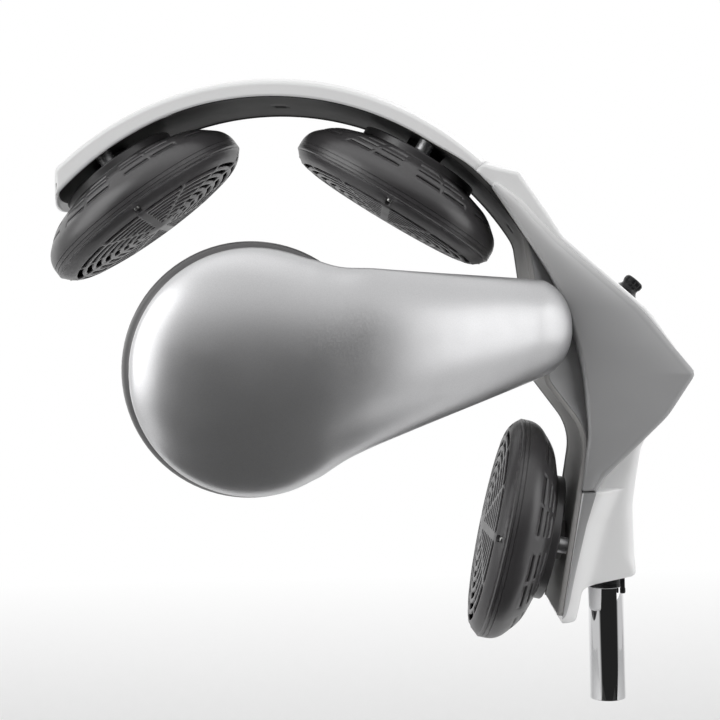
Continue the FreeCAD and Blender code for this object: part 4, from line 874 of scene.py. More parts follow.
# ================================================================ slotted round mouldings
class Spokes:
    """Columns of a round slotted moulding.

    Stops are lines at an angle plus an offset to one side, so ribs keep their width: at radius r a stop lies
    at angle + asin(offset / r), with r held at the inmost radius below it.  A span follows each stop; in an
    open span the columns crowd to its two ends, where the slots' outlines close in a half circle.
    """

    ENDS = np.array([0.0, 0.12, 0.42, 1.0])

    def __init__(self, half_slot, inmost):
        self.half_slot = half_slot
        self.inmost = inmost
        self.stops = []
        self.spans = []

    def add(self, degrees, offset, is_open, columns):
        """A stop, and the kind and the number of inner columns of the span after it."""
        self.stops.append((math.radians(degrees), offset))
        self.spans.append((is_open, columns))

    def angles(self, radius):
        """Angle of every column at each radius, shaped (radii, columns)."""
        radius = np.maximum(np.asarray(radius, float), self.inmost)[:, None]
        lines = [angle + np.arcsin(offset / radius) for angle, offset in self.stops]
        lines.append(lines[0] + FULL_TURN)
        parts = []
        for (is_open, columns), low, high in zip(self.spans, lines, lines[1:]):
            width = high - low
            if is_open:
                end = np.minimum(self.half_slot / radius, 0.4 * width)
                inner = np.linspace(0, 1, columns + 2)[1:-1]
                parts += [low + end * self.ENDS, low + end + (width - 2 * end) * inner,
                          high - end * self.ENDS[:0:-1]]
            else:
                parts.append(low + width * np.linspace(0, 1, columns + 2)[:-1])
        return np.hstack(parts)

    def shapes(self):
        """For each column the share of the slot's half width, and whether the cell after it is open."""
        share = []
        opened = []
        bulge = np.sqrt(1 - (1 - self.ENDS) ** 2)
        for is_open, columns in self.spans:
            part = np.zeros(columns + 1)
            if is_open:
                part = np.concatenate([bulge, np.ones(columns), bulge[:0:-1]])
            share.append(part)
            opened.append(np.full(len(part), is_open))
        return np.concatenate(share), np.concatenate(opened)


def slotted(profile, rings, spokes, extra, dimples=None):
    """Round moulding with rings of slots.

    Rows stand along the profile's length; each ring of slots, given as (radius, half width), has a row on
    either side that bulges out from the ring's middle by the half width times the column's share.  Cells
    between such rows are left open.  Dimples change (distance along the profile, angle, height) afterwards.
    """
    profile = np.asarray(profile, float)
    reach = reach_of(profile)
    inward = np.maximum.accumulate(-profile[:, 0])
    places = [(float(np.interp(-radius, inward, reach)), half) for radius, half in rings]
    plain = np.unique(np.concatenate([reach, np.asarray(extra, float)]))
    free = np.append(True, np.diff(plain) > 0.05)
    for middle, half in places:
        free &= abs(plain - middle) > half + 0.25
    plain = plain[free]
    rows = [(at, 0.0, 0) for at in plain]
    for middle, half in places:
        rows += [(middle, -half, 1), (middle, half, 2)]
    rows.sort()
    middle, half, kind = (np.array(part) for part in zip(*rows))
    share, opened = spokes.shapes()
    along = middle[:, None] + half[:, None] * share[None, :]
    angle = spokes.angles(np.interp(middle, reach, profile[:, 0]))
    radius = np.interp(along, reach, profile[:, 0])
    height = np.interp(along, reach, profile[:, 1])
    if dimples:
        radius, angle, height = dimples(radius, angle, height)
    keep = ~((kind[:-1, None] == 1) & (kind[1:, None] == 2) & opened[None, :])
    return Sheet(around_z(radius, angle, height), round_columns=True, keep=keep)


DRAWN_RADIUS = 100.5
HUB_TOP = 50.5
FAN_MIDDLE = 26.6
GRILLE_LINE = [(99.2, 0.0, 0.0), (91.6, -9.05, 20.0), (0.0, -15.0, 0.0)]
SHELL_LINE = [
    (99.2, 0.0, 0.0), (100.5, 1.3, 0.6), (100.5, 3.0, 0.0), (100.0, 3.25, 0.0), (100.0, 3.65, 0.0),
    (100.5, 3.9, 0.0), (100.5, 6.7, 0.0), (100.0, 6.95, 0.0), (100.0, 7.35, 0.0), (100.5, 7.6, 0.0),
    (100.5, 17.05, 20.0), (80.9, 34.7, 40.0), (56.5, 43.1, 1.0), (56.5, HUB_TOP, 1.5), (9.0, HUB_TOP, 0.0)]
VENT_RINGS = [(89.6, 1.25), (82.3, 1.35), (72.2, 1.45)]
SCREW_CIRCLE = 93.3
SEAT_HALF = 2.9
SEAT_REACH = 5.0
SEAT_HEIGHT = -3.0
SEAT_LINES = (1.1, 2.2, SEAT_HALF)


def pod_line(corners, pod):
    """A pod's outline of (r, z, round) corners, scaled to the pod's radius."""
    return bent_line(corners, 5.0) * (mm(pod.radius) / DRAWN_RADIUS)


def both_ways(offsets):
    """The offsets with their opposites and zero, in rising order."""
    return tuple(-offset for offset in offsets[::-1]) + (0.0,) + tuple(offsets)


def grille_spokes(pod):
    """Twelve ribs, every third one wider and with columns for its screw, and open spans between."""
    spokes = Spokes(mm(pod.slot) / 2, 15.0)
    for rib in range(12):
        main = rib % 3 == 0
        half = mm(pod.main_rib if main else pod.fine_rib) / 2
        inner = both_ways(SEAT_LINES) if main else (0.0,)
        for offset in (-half,) + inner:
            spokes.add(30 * rib, offset, False, 0)
        spokes.add(30 * rib, half, True, 5)
    return spokes


def screw_dimples(radius, angle, height):
    """Sink a round seat for each grille screw.

    Near a screw the grid's square rings m = max(|u|, |v|) are drawn to circles: points move along their ray
    to the radius given for m, fading to no move at the seat's reach.  The middle ones drop to the seat.
    """
    quarter = math.pi / 2
    across = ((angle + quarter / 2) % quarter - quarter / 2) * SCREW_CIRCLE
    outward = radius - SCREW_CIRCLE
    square = np.maximum(abs(across), abs(outward))
    direct = np.maximum(np.hypot(across, outward), 1e-6)
    wanted = np.interp(square, [0.0, SEAT_HALF, 3.25, SEAT_REACH], [0.0, 3.1, 3.13, SEAT_REACH])
    fade = smoothstep(3.3, SEAT_REACH, square)
    scale = np.where(square < SEAT_REACH, (wanted / direct) * (1 - fade) + fade, 1.0)
    angle = angle + across * (scale - 1) / SCREW_CIRCLE
    radius = radius + outward * (scale - 1)
    return radius, angle, np.where(square < SEAT_HALF + 0.1, SEAT_HEIGHT, height)


def grille_sheet(pod):
    """Domed grille: rings of slots at an even pitch, a plain rim and four screw seats."""
    line = pod_line(GRILLE_LINE, pod)
    line = along_line(line, 1 + int(round(reach_of(line)[-1] / 2.4)))
    half = mm(pod.slot) / 2
    outer = mm(pod.radius) - 12.0
    rings = [(outer - half - ring * mm(pod.pitch), half) for ring in range(pod.rings)]
    reach = reach_of(line)
    screws = [float(np.interp(-SCREW_CIRCLE - offset, -line[:, 0], reach))
              for offset in both_ways(SEAT_LINES + (3.25, 3.6, 4.4))]
    lands = [float(np.interp(-radius - mm(pod.pitch) / 2, -line[:, 0], reach)) for radius, _ in rings]
    sheet = slotted(line, rings, grille_spokes(pod), lands + screws, screw_dimples)
    sheet.flip = True
    return sheet


def shell_sheet(pod):
    """Back shell: rim with two fine grooves, rounded shoulder with vents in eight groups, and the hub."""
    spokes = Spokes(1.0, 9.0)
    for group in range(8):
        middle = 45 * group + 22.5
        for turn, is_open, columns in ((-17.3, True, 3), (-1.1, False, 0), (1.1, True, 3), (17.3, False, 3)):
            spokes.add(middle + turn, 0.0, is_open, columns)
    return slotted(pod_line(SHELL_LINE, pod), VENT_RINGS, spokes, ())


def coil_path(radius, turns, wire_circle, height):
    """Wound wire bent in a ring: angle a round the pod, angle turns * a round the winding."""
    around = np.linspace(0, FULL_TURN, turns * 8, endpoint=False)
    wind = around * turns
    reach = radius + wire_circle * np.cos(wind)
    return around_z(reach, around, height + wire_circle * np.sin(wind))


def heater_sheets():
    """Three wound wires on a cross of two mica cards."""
    sheets = []
    pitch = 2.6
    for radius in (38.0, 56.0, 74.0):
        turns = int(FULL_TURN * radius / pitch)
        sheets.append(closed_tube(coil_path(radius, turns, 2.2, 6.0), 0.38, 4))
    card = block_body(97.6, 0.6, 1.0, 11.0, 0.2, 0.15, slot=1)
    return sheets + [card.spun(math.radians(degrees)) for degrees in (45.0, 135.0)]


def fan_sheets():
    """Fan wheel: rounded hub and seven blades.

    A blade is lofted through sections from the hub out: each a thin bowed lens, its chord c(r) growing from
    13 to 19 mm, turned by a pitch that falls from 38 to 24 degrees and swept back as the radius grows.
    """
    hub = turned([(0, 21.2), (10.5, 21.2), (13.2, 22.2), (14.0, 24.0), (14.0, 31.4), (13.4, 32.0),
                  (2.2, 32.0), (2.2, 24.4), (0, 24.4)], 40)
    root, tip = 12.5, 52.0
    blades = 7
    radius = np.linspace(root, tip, 12)[:, None]
    share = (radius - root) / (tip - root)
    around = np.linspace(0, FULL_TURN, 18, endpoint=False)[None, :]
    half_chord = (13 + 6 * share) * np.sqrt(np.clip(1.02 - share ** 10, 0, 1)) / 2
    along = half_chord * np.cos(around)
    thick = 0.75 * np.sin(around) + 1.1 * (1 - np.cos(around) ** 2) - 0.5
    pitch = np.radians(38 - 14 * share)
    sideways = along * np.cos(pitch) - thick * np.sin(pitch)
    height = FAN_MIDDLE + along * np.sin(pitch) + thick * np.cos(pitch)
    angle = sideways / radius + 0.35 * share ** 2
    blade = capped(around_z(radius, angle, height))
    return [hub] + [blade.spun(index * FULL_TURN / blades) for index in range(blades)]


def pod_place(name):
    """Frame of a pod: its fan joint's axis, with the origin at the middle of the pod's seam."""
    joint = JOINTS[name + "_fan_spin"]
    axis = np.array(joint["axis"], float)
    origin = np.array(joint["pos_m"], float) / MM - axis * FAN_MIDDLE
    hint = (0.0, -1.0, 0.0) if name in HEAD_PODS else (0.0, 0.0, 1.0)
    return Place(origin, axis, hint)


# ================================================================ arch and body
# Lengths in millimetres and angles in degrees.  Outlines are corners (x, z, radius of the corner's arc), and
# angles are taken about the arch's centre, from +X towards +Z.
ARCH_CENTRE = np.array([-295.5, 288.5])
ARCH_RADIUS = 257.5
ARCH_BACK_DEG = 32.0
COVER_BACK_DEG = 46.0
FRONT_X = -488.0
FRONT_BOW = 8.0
FRONT_HALF = 60.0
FACE_AHEAD = 0.7
EDGE_ROUND = 5.0
WALL_CELLS = 4
SEAM_GAP = 0.4
SEAM_DEPTH = 4.9
BACK_END = (73.5, 296.0, 0.0)
LINER_BACK = [(-77.13, 424.95, 0.0), (-72.9, 418.2, 28.0), (-57.0, 290.0, 12.0), (-22.7, 242.8, 48.0),
              (-50.5, 86.0, 0.0)]
REAR_TOP = [(-79.0, 484.0, 3.0), (-70.0, 481.0, 5.0), (-38.0, 419.0, 30.0), (36.0, 352.0, 60.0), BACK_END]
CHEEK_TOP = [(-98.0, 465.0, 2.0), (-76.0, 449.7, 60.0), (-43.0, 413.4, 60.0), (26.0, 352.8, 150.0)]
BACK_TIP = (71.8, 295.6, 4.0)
CHEEK_END_Z = 194.8
CHEEK_LOW = [(48.0, 261.0, 60.0), (-8.0, 208.0, 34.0), (-16.5, CHEEK_END_Z, 2.0)]
CHEEK_FRONT = [(-25.0, CHEEK_END_Z, 2.0), (-17.0, 244.0, 90.0), (-19.5, 300.0, 200.0), (-38.0, 372.0, 200.0)]
CHEEK_HALF = 65.0
NECK_HALF = 41.6
NECK_OUTLINE = [(-46.5, 79.0, 0.0), (-45.0, 77.5, 2.0), (-33.0, 78.5, 4.0), (-26.5, 107.0, 8.0),
                (-12.0, 110.5, 6.0), (22.5, 117.0, 5.0), (21.5, 180.0, 60.0), (30.0, 232.0, 30.0),
                (50.0, 263.0, 50.0), BACK_END]
NECK_BACK = [(86.0, (-46.3, 79.5)), (88.0, (-40.0, 78.0)), (91.0, (-33.4, 79.6)), (98.0, (-29.8, 92.0)),
             (106.0, (-26.8, 105.0)), (109.0, (-22.0, 108.2)), (112.0, (-12.0, 110.4)), (115.0, (5.0, 113.7)),
             (119.0, (18.0, 116.3)), (122.0, (22.2, 119.5)), (128.0, (22.3, 128.0)), (170.0, (22.0, 170.0)),
             (186.0, (22.4, 186.0)), (194.0, (22.9, 194.0)), (200.0, (23.8, 202.0)), (230.0, (30.0, 231.0)),
             (250.0, (44.0, 256.0)), (262.0, (73.0, 295.5))]
PANEL_TOP = np.array([-38.0, 419.0])
PANEL_DOWN = np.array([0.7413, -0.6712])
PANEL_OUT = np.array([0.6712, 0.7413])
WINDOW_AT = 37.0
WINDOW_HALF = (25.05, 13.05)
KNOB_AT = 79.4


def polar(radius, angle):
    """Points (x, z) at a radius and an angle about the arch's centre."""
    return ARCH_CENTRE + np.stack([radius * np.cos(angle), radius * np.sin(angle)], axis=-1)


def bowed_front(across):
    """X of the arch's front end: front + bow * (y / half width)^2."""
    return FRONT_X + FRONT_BOW * (across / FRONT_HALF) ** 2


def front_angle(radius, across, setback=0.0):
    """Angle at which a point of this radius and side offset meets the bowed front end."""
    return np.arccos((bowed_front(across) + setback - ARCH_CENTRE[0]) / radius)


def with_y(flat, across):
    """Points (x, z) and their y, as points of the part."""
    return np.stack(np.broadcast_arrays(flat[..., 0], across, flat[..., 1]), axis=-1)


def crown_section(arch, extra=()):
    """Section of the arch's cover as (y, radius): side walls, round edges and the crowned top between.

    The top is two slopes joined by a wide arc; they would meet at 1.47 times its rise over the eaves.  Each
    side wall has evenly spaced points, and the extra places get points in the top.
    """
    half = mm(arch.half_width)
    foot = ARCH_RADIUS + mm(arch.lip) + SEAM_GAP
    eaves = ARCH_RADIUS + mm(arch.lip) + mm(arch.cover_side)
    apex = eaves + (mm(arch.cover_ridge) - mm(arch.cover_side)) * 1.47
    line = bent_line([(-half, foot, 0), (-half, eaves, EDGE_ROUND), (0, apex, 165.0),
                      (half, eaves, EDGE_ROUND), (half, foot, 0)], 2.0)
    top = line[1:-1]
    for place in extra:
        index = int(np.searchsorted(top[:, 0], place))
        height = np.interp(place, top[:, 0], top[:, 1])
        top = np.insert(top, index, [place, height], axis=0)
    steps = np.linspace(0, 1, WALL_CELLS + 1)[:-1, None]
    left = line[:1] + (top[:1] - line[:1]) * steps
    right = (line[-1:] + (top[-1:] - line[-1:]) * steps)[::-1]
    return np.vstack([left, top, right])


def arch_cover_sheets(arch):
    """Outer cover: the section swept round the arch, rolled over at the front and closed by a bowed face.

    The side walls reach down over the liner's edge by a skirt that grows from nothing at the back to 4.2 mm
    and then to 7.2 mm at the front; its share falls evenly from the foot of the wall to the eaves.
    """
    section = crown_section(arch)
    wall = WALL_CELLS
    weight = np.zeros((len(section), 1))
    weight[:wall + 1, 0] = np.linspace(1, 0, wall + 1)
    weight[-wall - 1:, 0] = np.linspace(0, 1, wall + 1)
    spread_out = np.hstack([0.15 * np.sign(section[:, :1]), -np.ones((len(section), 1))]) * weight
    inward = line_normals(section)
    inward = np.where(inward[:, 1:] > 0, -inward, inward)
    inward[:wall + 1] = (1.0, 0.0)
    inward[-wall - 1:] = (-1.0, 0.0)
    roll = 3.0
    skirt_behind, skirt_ahead = 4.2, 3.0
    rows = []
    back = math.radians(COVER_BACK_DEG)
    for share in np.linspace(0, 1, 90):
        skirt = skirt_behind * smoothstep(0.0, 0.12, share) + skirt_ahead * smoothstep(0.6, 1.0, share)
        skirted = section + spread_out * skirt
        angle = back + (front_angle(skirted[:, 1], skirted[:, 0], roll - FACE_AHEAD) - back) * share
        rows.append(with_y(polar(skirted[:, 1], angle), skirted[:, 0]))
    for turn in np.linspace(0, math.pi / 2, 7)[1:]:
        drawn = skirted + inward * roll * (1 - math.cos(turn))
        angle = front_angle(drawn[:, 1], drawn[:, 0], roll * (1 - math.sin(turn)) - FACE_AHEAD)
        rows.append(with_y(polar(drawn[:, 1], angle), drawn[:, 0]))
    edge = drawn[wall:len(drawn) - wall]
    steps = np.linspace(0, 1, wall + 1)[:, None]
    heights = edge[None, :, 1] + (drawn[0, 1] - edge[None, :, 1]) * steps
    across = np.broadcast_to(edge[None, :, 0], heights.shape)
    face = polar(heights, front_angle(heights, across, -FACE_AHEAD))
    return [Sheet(np.stack(rows)), Sheet(with_y(face, across))]


def liner_path():
    """Inner line of the liner behind the arc: points (x, z) and their outward normals."""
    line = along_line(bent_line(LINER_BACK, 3.0), 90)
    normals = line_normals(line)
    leave = math.radians(ARCH_BACK_DEG)
    normals[0] = (math.cos(leave), math.sin(leave))
    return line, normals


def body_half(height):
    """Half width of the body's sides, closing in towards the lower tip."""
    return np.interp(height, [80.0, 250.0], [53.0, 60.0])


def arch_liner_sheets(arch):
    """Liner: a flat channel with a bead along each edge, swept round the arch and down behind the head.

    Two short slots along its middle line are left open.  Ahead of 125 degrees the rows turn, point by point,
    into the bowed front end.
    """
    half = mm(arch.half_width)
    lip = mm(arch.lip)
    bead = mm(arch.bead)
    slot_half_width, slot_half_length = 1.2, 5.0
    foot, top = half - 3.2, half - 4.0
    section = bent_line([
        (-half, lip, 0), (-half, 0, 1.0), (-foot, 0, 0.7), (-top, bead, 0.7),
        (top, bead, 0.7), (foot, 0, 0.7), (half, 0, 1.0), (half, lip, 0)], 20.0)
    middle = int(np.searchsorted(section[:, 0], 0.0))
    inner = np.array([(y, bead) for y in (-42.0, -28.0, -14.0, -slot_half_width,
                                          slot_half_width, 14.0, 28.0, 42.0)])
    section = np.vstack([section[:middle], inner, section[middle:]])
    slot_column = middle + 3
    half_slot = math.degrees(slot_half_length / ARCH_RADIUS)
    slots = [(at - half_slot, at + half_slot) for at in (88.0, ARCH_BACK_DEG + 0.1 + half_slot)]
    front_deg = 141.0
    turns = np.unique(np.concatenate([np.linspace(front_deg, ARCH_BACK_DEG, 110), slots[0], slots[1]]))[::-1]
    base = np.radians(turns)
    radius = ARCH_RADIUS + section[:, 1]
    front = front_angle(radius, section[:, 0])
    lip_front = front_angle(ARCH_RADIUS + lip, section[:, 0])
    rows = [with_y(polar(ARCH_RADIUS + lip, lip_front), section[:, 0])]
    ahead = math.radians(125.0)
    for angle in base:
        at = angle if angle < ahead else ahead + (front - ahead) * (angle - ahead) / (base[0] - ahead)
        rows.append(with_y(polar(radius, at * np.ones(len(section))), section[:, 0]))
    line, normals = liner_path()
    for point, normal in zip(line[1:], normals[1:]):
        rows.append(with_y(point + normal * section[:, 1:2], section[:, 0] * body_half(point[1]) / half))
    rim = np.broadcast_to(line[-1] + normals[-1] * lip, (len(section), 2))
    rows.append(with_y(rim, section[:, 0] * body_half(line[-1][1]) / half))
    keep = np.ones((len(rows) - 1, len(section) - 1), bool)
    for low, high in slots:
        start, stop = (1 + int(np.argmin(abs(turns - degrees))) for degrees in (high, low))
        keep[start:stop, slot_column] = False
    return [Sheet(np.stack(rows), keep=keep)]


def duct_sheets():
    """Round ducts from the head pods' hubs to the liner."""
    duct = turned([(17.0, HUB_TOP), (18.6, HUB_TOP), (18.6, 51.6), (18.0, 52.3), (18.0, 70.0)], 48)
    return [duct.moved(pod_place(name)) for name in HEAD_PODS]


def rear_cover_sheet(arch):
    """Rear cover: sections across the body from the arch cover to the back tip.

    Each section runs from the cheek line up a side wall, over a round edge and across the top.  Near the arch
    the top keeps the arch cover's crown, which fades out before the control panel; further down only the
    rounded edges fall.  The cells at the display window are left open.
    """
    section = crown_section(arch, extra=(-WINDOW_HALF[1], WINDOW_HALF[1]))
    wall = WALL_CELLS
    dense = 1500
    ridge = section[:, 1].max()
    start = polar(np.array([ridge - 0.3]), np.radians([COVER_BACK_DEG]))[0]
    top = bent_line([(start[0], start[1], 0.0)] + REAR_TOP, 4.0)
    window = [PANEL_TOP + PANEL_DOWN * (WINDOW_AT + side * WINDOW_HALF[0]) for side in (-1, 1)]
    reach = reach_of(top)
    fine = along_line(top, dense)
    fine_reach = np.linspace(0, reach[-1], dense)
    marks = [fine_reach[int(np.argmin(np.linalg.norm(fine - corner, axis=1)))] for corner in window]
    at = np.unique(np.concatenate([reach, np.linspace(0, reach[-1], 60), marks]))
    at = at[np.append(True, np.diff(at) > 0.15)]
    share = at / reach[-1]
    crest = points_at(top, reach, at)
    cheek = bent_line(CHEEK_TOP + [BACK_END], 6.0)
    inward = line_normals(cheek)
    inward = inward * -np.sign(inward[:, 1:])
    tip = np.array(CHEEK_TOP[0][:2]) - ARCH_CENTRE
    arc = polar(np.full(8, ARCH_RADIUS + mm(arch.lip) + SEAM_GAP),
                np.linspace(math.radians(COVER_BACK_DEG), math.atan2(tip[1], tip[0]), 8))
    low = np.vstack([arc, (cheek + inward * 1.5)[cheek[:, 0] > arc[-1, 0] + 3.0]])
    low = points_at(along_line(low, dense), np.linspace(0, 1, dense), share)
    drop = low - crest
    depth = np.maximum(np.linalg.norm(drop, axis=1), 1e-6)
    down = drop / depth[:, None]
    fade = 1 - smoothstep(0.0, 0.42, share)
    edge = np.clip((abs(section[:, 0]) - mm(arch.half_width) + EDGE_ROUND) / EDGE_ROUND, 0, 1)
    flat_drop = EDGE_ROUND * (1 - np.sqrt(1 - edge ** 2))
    room = np.clip(depth / 12.0, 0, 1)[:, None]
    fall = (fade[:, None] * (ridge - section[:, 1]) + (1 - fade[:, None]) * flat_drop) * room
    steps = np.linspace(0, 1, wall + 1)[:-1]
    fall[:, :wall] = depth[:, None] + (fall[:, wall:wall + 1] - depth[:, None]) * steps
    fall[:, -wall:] = fall[:, wall - 1::-1][:, :wall]
    flat = crest[:, None] + down[:, None] * fall[:, :, None]
    keep = np.ones((len(at) - 1, len(section) - 1), bool)
    rows = [int(np.argmin(abs(at - mark))) for mark in marks]
    columns = [int(np.argmin(abs(section[:, 0] - side))) for side in (-WINDOW_HALF[1], WINDOW_HALF[1])]
    keep[rows[0]:rows[1], columns[0]:columns[1]] = False
    return Sheet(with_y(flat, np.broadcast_to(section[:, 0], flat.shape[:2])), keep=keep, flip=True)


def toward(normals, other):
    """Normals turned, where needed, to the side on which the other line lies."""
    return normals * np.sign(np.sum(normals * other, axis=1))[:, None]


def stack_left(rows):
    """Rows of points (x, z) and their distances from the XZ plane, on the left side, as one sheet."""
    return Sheet(np.stack([with_y(flat, -out[:, 0]) for flat, out in rows]))


def cheek_lines():
    """Back and front edges of a cheek from its upper tip to its lower end, with their inward directions."""
    count = 150
    back = along_line(bent_line(CHEEK_TOP + [BACK_TIP] + CHEEK_LOW, 4.0), count)
    front = along_line(bent_line(CHEEK_TOP[:1] + CHEEK_FRONT[::-1], 4.0), count)
    back_in = toward(line_normals(back), front - back)
    front_in = toward(line_normals(front), back - front)
    return back, front, back_in, front_in


def cheek_sheet(body):
    """Left cheek: hidden wall, a rolled edge, a crowned face, a narrow roll and the front wall.

    The hidden wall stands 4.2 mm inside the back edge.  Each row follows both edges from the upper tip down.
    A roll is a quarter circle square to its edge; the face runs straight from roll to roll and rises by
    crown * 4 v (1 - v) between.  Towards the lower end the rim draws in by 4.4 mm to meet the neck.
    """
    back, front, back_in, front_in = cheek_lines()
    gap = np.linalg.norm(front - back, axis=1)[:, None]
    wide = np.minimum(mm(body.cheek_roll), 0.22 * gap)
    narrow = np.minimum(1.3, 0.12 * gap)
    crown = np.minimum(mm(body.cheek_crown), 0.05 * gap)
    level = (back[:, 1:] + front[:, 1:]) / 2
    draw_in, wall_inset = 4.4, 4.2
    hidden_foot, front_foot = 42.2, 44.0
    rim = CHEEK_HALF - mm(body.cheek_crown) - draw_in * (1 - smoothstep(196.0, 250.0, level))
    quarter = np.linspace(0, math.pi / 2, 8)
    hidden = back + back_in * wall_inset
    rows = [(hidden, np.full_like(gap, hidden_foot)), (hidden, rim - wide - 4.0), (back, rim - wide - 0.8)]
    for turn in quarter:
        rows.append((back + back_in * wide * (1 - math.cos(turn)), rim - wide * (1 - math.sin(turn))))
    start = back + back_in * wide
    end = front + front_in * narrow
    for share in np.linspace(0, 1, 24)[1:-1]:
        rows.append((start + (end - start) * share, rim + crown * 4 * share * (1 - share)))
    for turn in quarter[::-1]:
        rows.append((front + front_in * narrow * (1 - math.cos(turn)), rim - narrow * (1 - math.sin(turn))))
    rows.append((front, np.full_like(gap, front_foot)))
    return stack_left(rows)


def pocket_sheet():
    """Left hinge pocket: a wall along the liner's seam and a floor that falls away under the cheek's edge.

    The floor runs straight from the seam to 3 mm behind the cheek's front edge, and its distance from the XZ
    plane falls by depth * (1 - (1 - v)^2).
    """
    upper_deg, lower_z = 41.5, 197.0
    wall_foot, floor_start, greatest_fall = 48.0, 58.4, 11.5
    _, front, _, front_in = cheek_lines()
    line, normals = liner_path()
    turns = np.radians(np.linspace(upper_deg, ARCH_BACK_DEG, 12))
    seam = np.vstack([polar(np.full(12, ARCH_RADIUS + SEAM_DEPTH), turns), (line + normals * SEAM_DEPTH)[1:]])
    seam = along_line(seam[seam[:, 1] > lower_z], len(front))
    behind = front + front_in * 3.0
    gap = np.linalg.norm(behind - seam, axis=1)[:, None]
    depth = np.minimum(greatest_fall, 0.5 * gap)
    rows = [(seam, np.full_like(gap, wall_foot))]
    for share in np.linspace(0, 1, 14):
        rows.append((seam + (behind - seam) * share, floor_start - depth * (1 - (1 - share) ** 2)))
    return stack_left(rows)


def neck_frame():
    """Heights of the neck's sections, their points on the liner's seam, and the lines from there to the back.

    A section goes back to the point of the outline that NECK_BACK gives for its height.
    """
    line, normals = liner_path()
    seam = (line + normals * SEAM_DEPTH)[::-1]
    outline = along_line(bent_line(NECK_OUTLINE, 8.0), 900)
    marks = np.array([height for height, _ in NECK_BACK])
    places = [int(np.argmin(np.linalg.norm(outline - np.array(point), axis=1))) for _, point in NECK_BACK]
    levels = np.unique(np.concatenate([marks, np.linspace(86.5, 128, 34), np.linspace(128, 262, 44),
                                       [191.5, 192.5, 193.3, 194.0, 194.5, CHEEK_END_Z, 195.0]]))
    front = np.stack([np.interp(levels, seam[:, 1], seam[:, 0]), levels], axis=1)
    back = points_at(outline, np.arange(len(outline)), np.interp(levels, marks, places))
    return levels, front, back - front


def neck_wall(levels, front, span, distance):
    """Points (x, z) and half widths of the neck's wall at distances behind its seam.

    The half width is the neck's plus a flange along the seam that stays full for 2 to 15 mm and fades out
    over the next 24 mm; the flange ends below the cheeks in a quarter circle of 2.2 mm.
    """
    fade = 24.0
    end_z, end_round = 192.6, 2.2
    flange = body_half(levels) - 0.2 - NECK_HALF
    flange = flange * np.sqrt(1 - np.clip((levels - end_z) / end_round, 0, 1) ** 2)
    flush = np.interp(levels, [86.0, 120.0, 165.0, 194.0], [2.0, 3.0, 7.0, 15.0])[:, None]
    half = NECK_HALF + flange[:, None] * (1 - smoothstep(flush, flush + fade, distance))
    depth = np.linalg.norm(span, axis=1)[:, None]
    return front[:, None] + span[:, None] * (distance / depth)[..., None], half


def neck_sheet():
    """Neck housing: closed sections, with corners rounded by a small radius ahead and a large one behind."""
    levels, front, span = neck_frame()
    depth = np.linalg.norm(span, axis=1)
    corner = np.interp(levels, [86, 100, 119, 135, 200, 262], [2.0, 3.0, 4.0, 12.0, 12.0, 6.0])
    corner = np.minimum(corner, 0.45 * depth)
    rim = 1.2
    ahead = np.array([0.0, 0.35, rim])
    inner = np.linspace(0, 1, 16)[1:]
    turn = np.linspace(0, math.pi / 2, 8)[1:]
    distance = np.hstack([
        np.broadcast_to(ahead, (len(levels), len(ahead))),
        rim + (depth - corner - rim)[:, None] * inner,
        (depth - corner)[:, None] + corner[:, None] * np.sin(turn)])
    drawn = np.hstack([
        np.broadcast_to(ahead[::-1], (len(levels), len(ahead))), np.zeros((len(levels), len(inner))),
        corner[:, None] * (1 - np.cos(turn))])
    flat, half = neck_wall(levels, front, span, distance)
    half = half - drawn
    shares = np.array([-0.75, -0.4, 0.0, 0.4, 0.75])
    across = with_y(np.repeat(flat[:, -1:], len(shares), axis=1), half[:, -1:] * shares)
    loops = np.concatenate([with_y(flat, -half), across, with_y(flat, half)[:, ::-1]], axis=1)
    return capped(list(loops))


def painted_shade_tail_sheet():
    """Left tail of painted shade along the neck's front edge: a grey strip that stands 0.3 mm out of the
    flange.

    It is 13.2 mm wide below the cheek and 4 mm at the foot.
    """
    top_z = 193.4
    levels, front, span = neck_frame()
    low = levels < top_z
    levels, front, span = levels[low], front[low], span[low]
    width = np.interp(levels, [86.0, 120.0, 165.0, 193.5], [4.0, 5.5, 8.8, 13.2])
    start = 0.5
    distance = start + (width - start)[:, None] * np.array([0.0, 0.12, 0.4, 0.7, 0.94, 1.0])
    flat, face = neck_wall(levels, front, span, distance)
    outer = with_y(flat, -face - np.array([-0.5, 0.2, 0.3, 0.3, 0.2, -0.5]))
    thickness = 1.4
    inner = with_y(flat, -face + thickness)[:, ::-1]
    return capped(list(np.concatenate([outer, inner], axis=1)), slot=1)


# ================================================================ side arms
ARM_ROOT_X = -33.0
ARM_HALF_HEIGHT = [(-262.0, 78.0), (-232.0, 75.0), (-200.0, 69.0), (-160.0, 61.0), (-117.0, 53.0),
                   (-80.0, 46.0), (-57.0, 41.5), (ARM_ROOT_X, 36.5)]
ARM_EDGE = [(-290.0, 213.6), (-262.0, 207.4), (-240.0, 202.0), (-215.0, 193.5), (-190.0, 177.5),
            (-160.0, 154.5), (-117.0, 118.0), (-80.0, 86.5), (-57.0, 70.5), (ARM_ROOT_X, 67.5)]
ARM_CREST = [(-285.0, 248.9), (-250.0, 238.0), (-222.0, 225.5), (-190.0, 207.0), (-160.0, 185.5),
             (-117.0, 149.5), (-80.0, 116.0), (-57.0, 98.0), (ARM_ROOT_X, 85.0)]
ARM_ROUND = 30.0
BOWL_RIM = 27.2


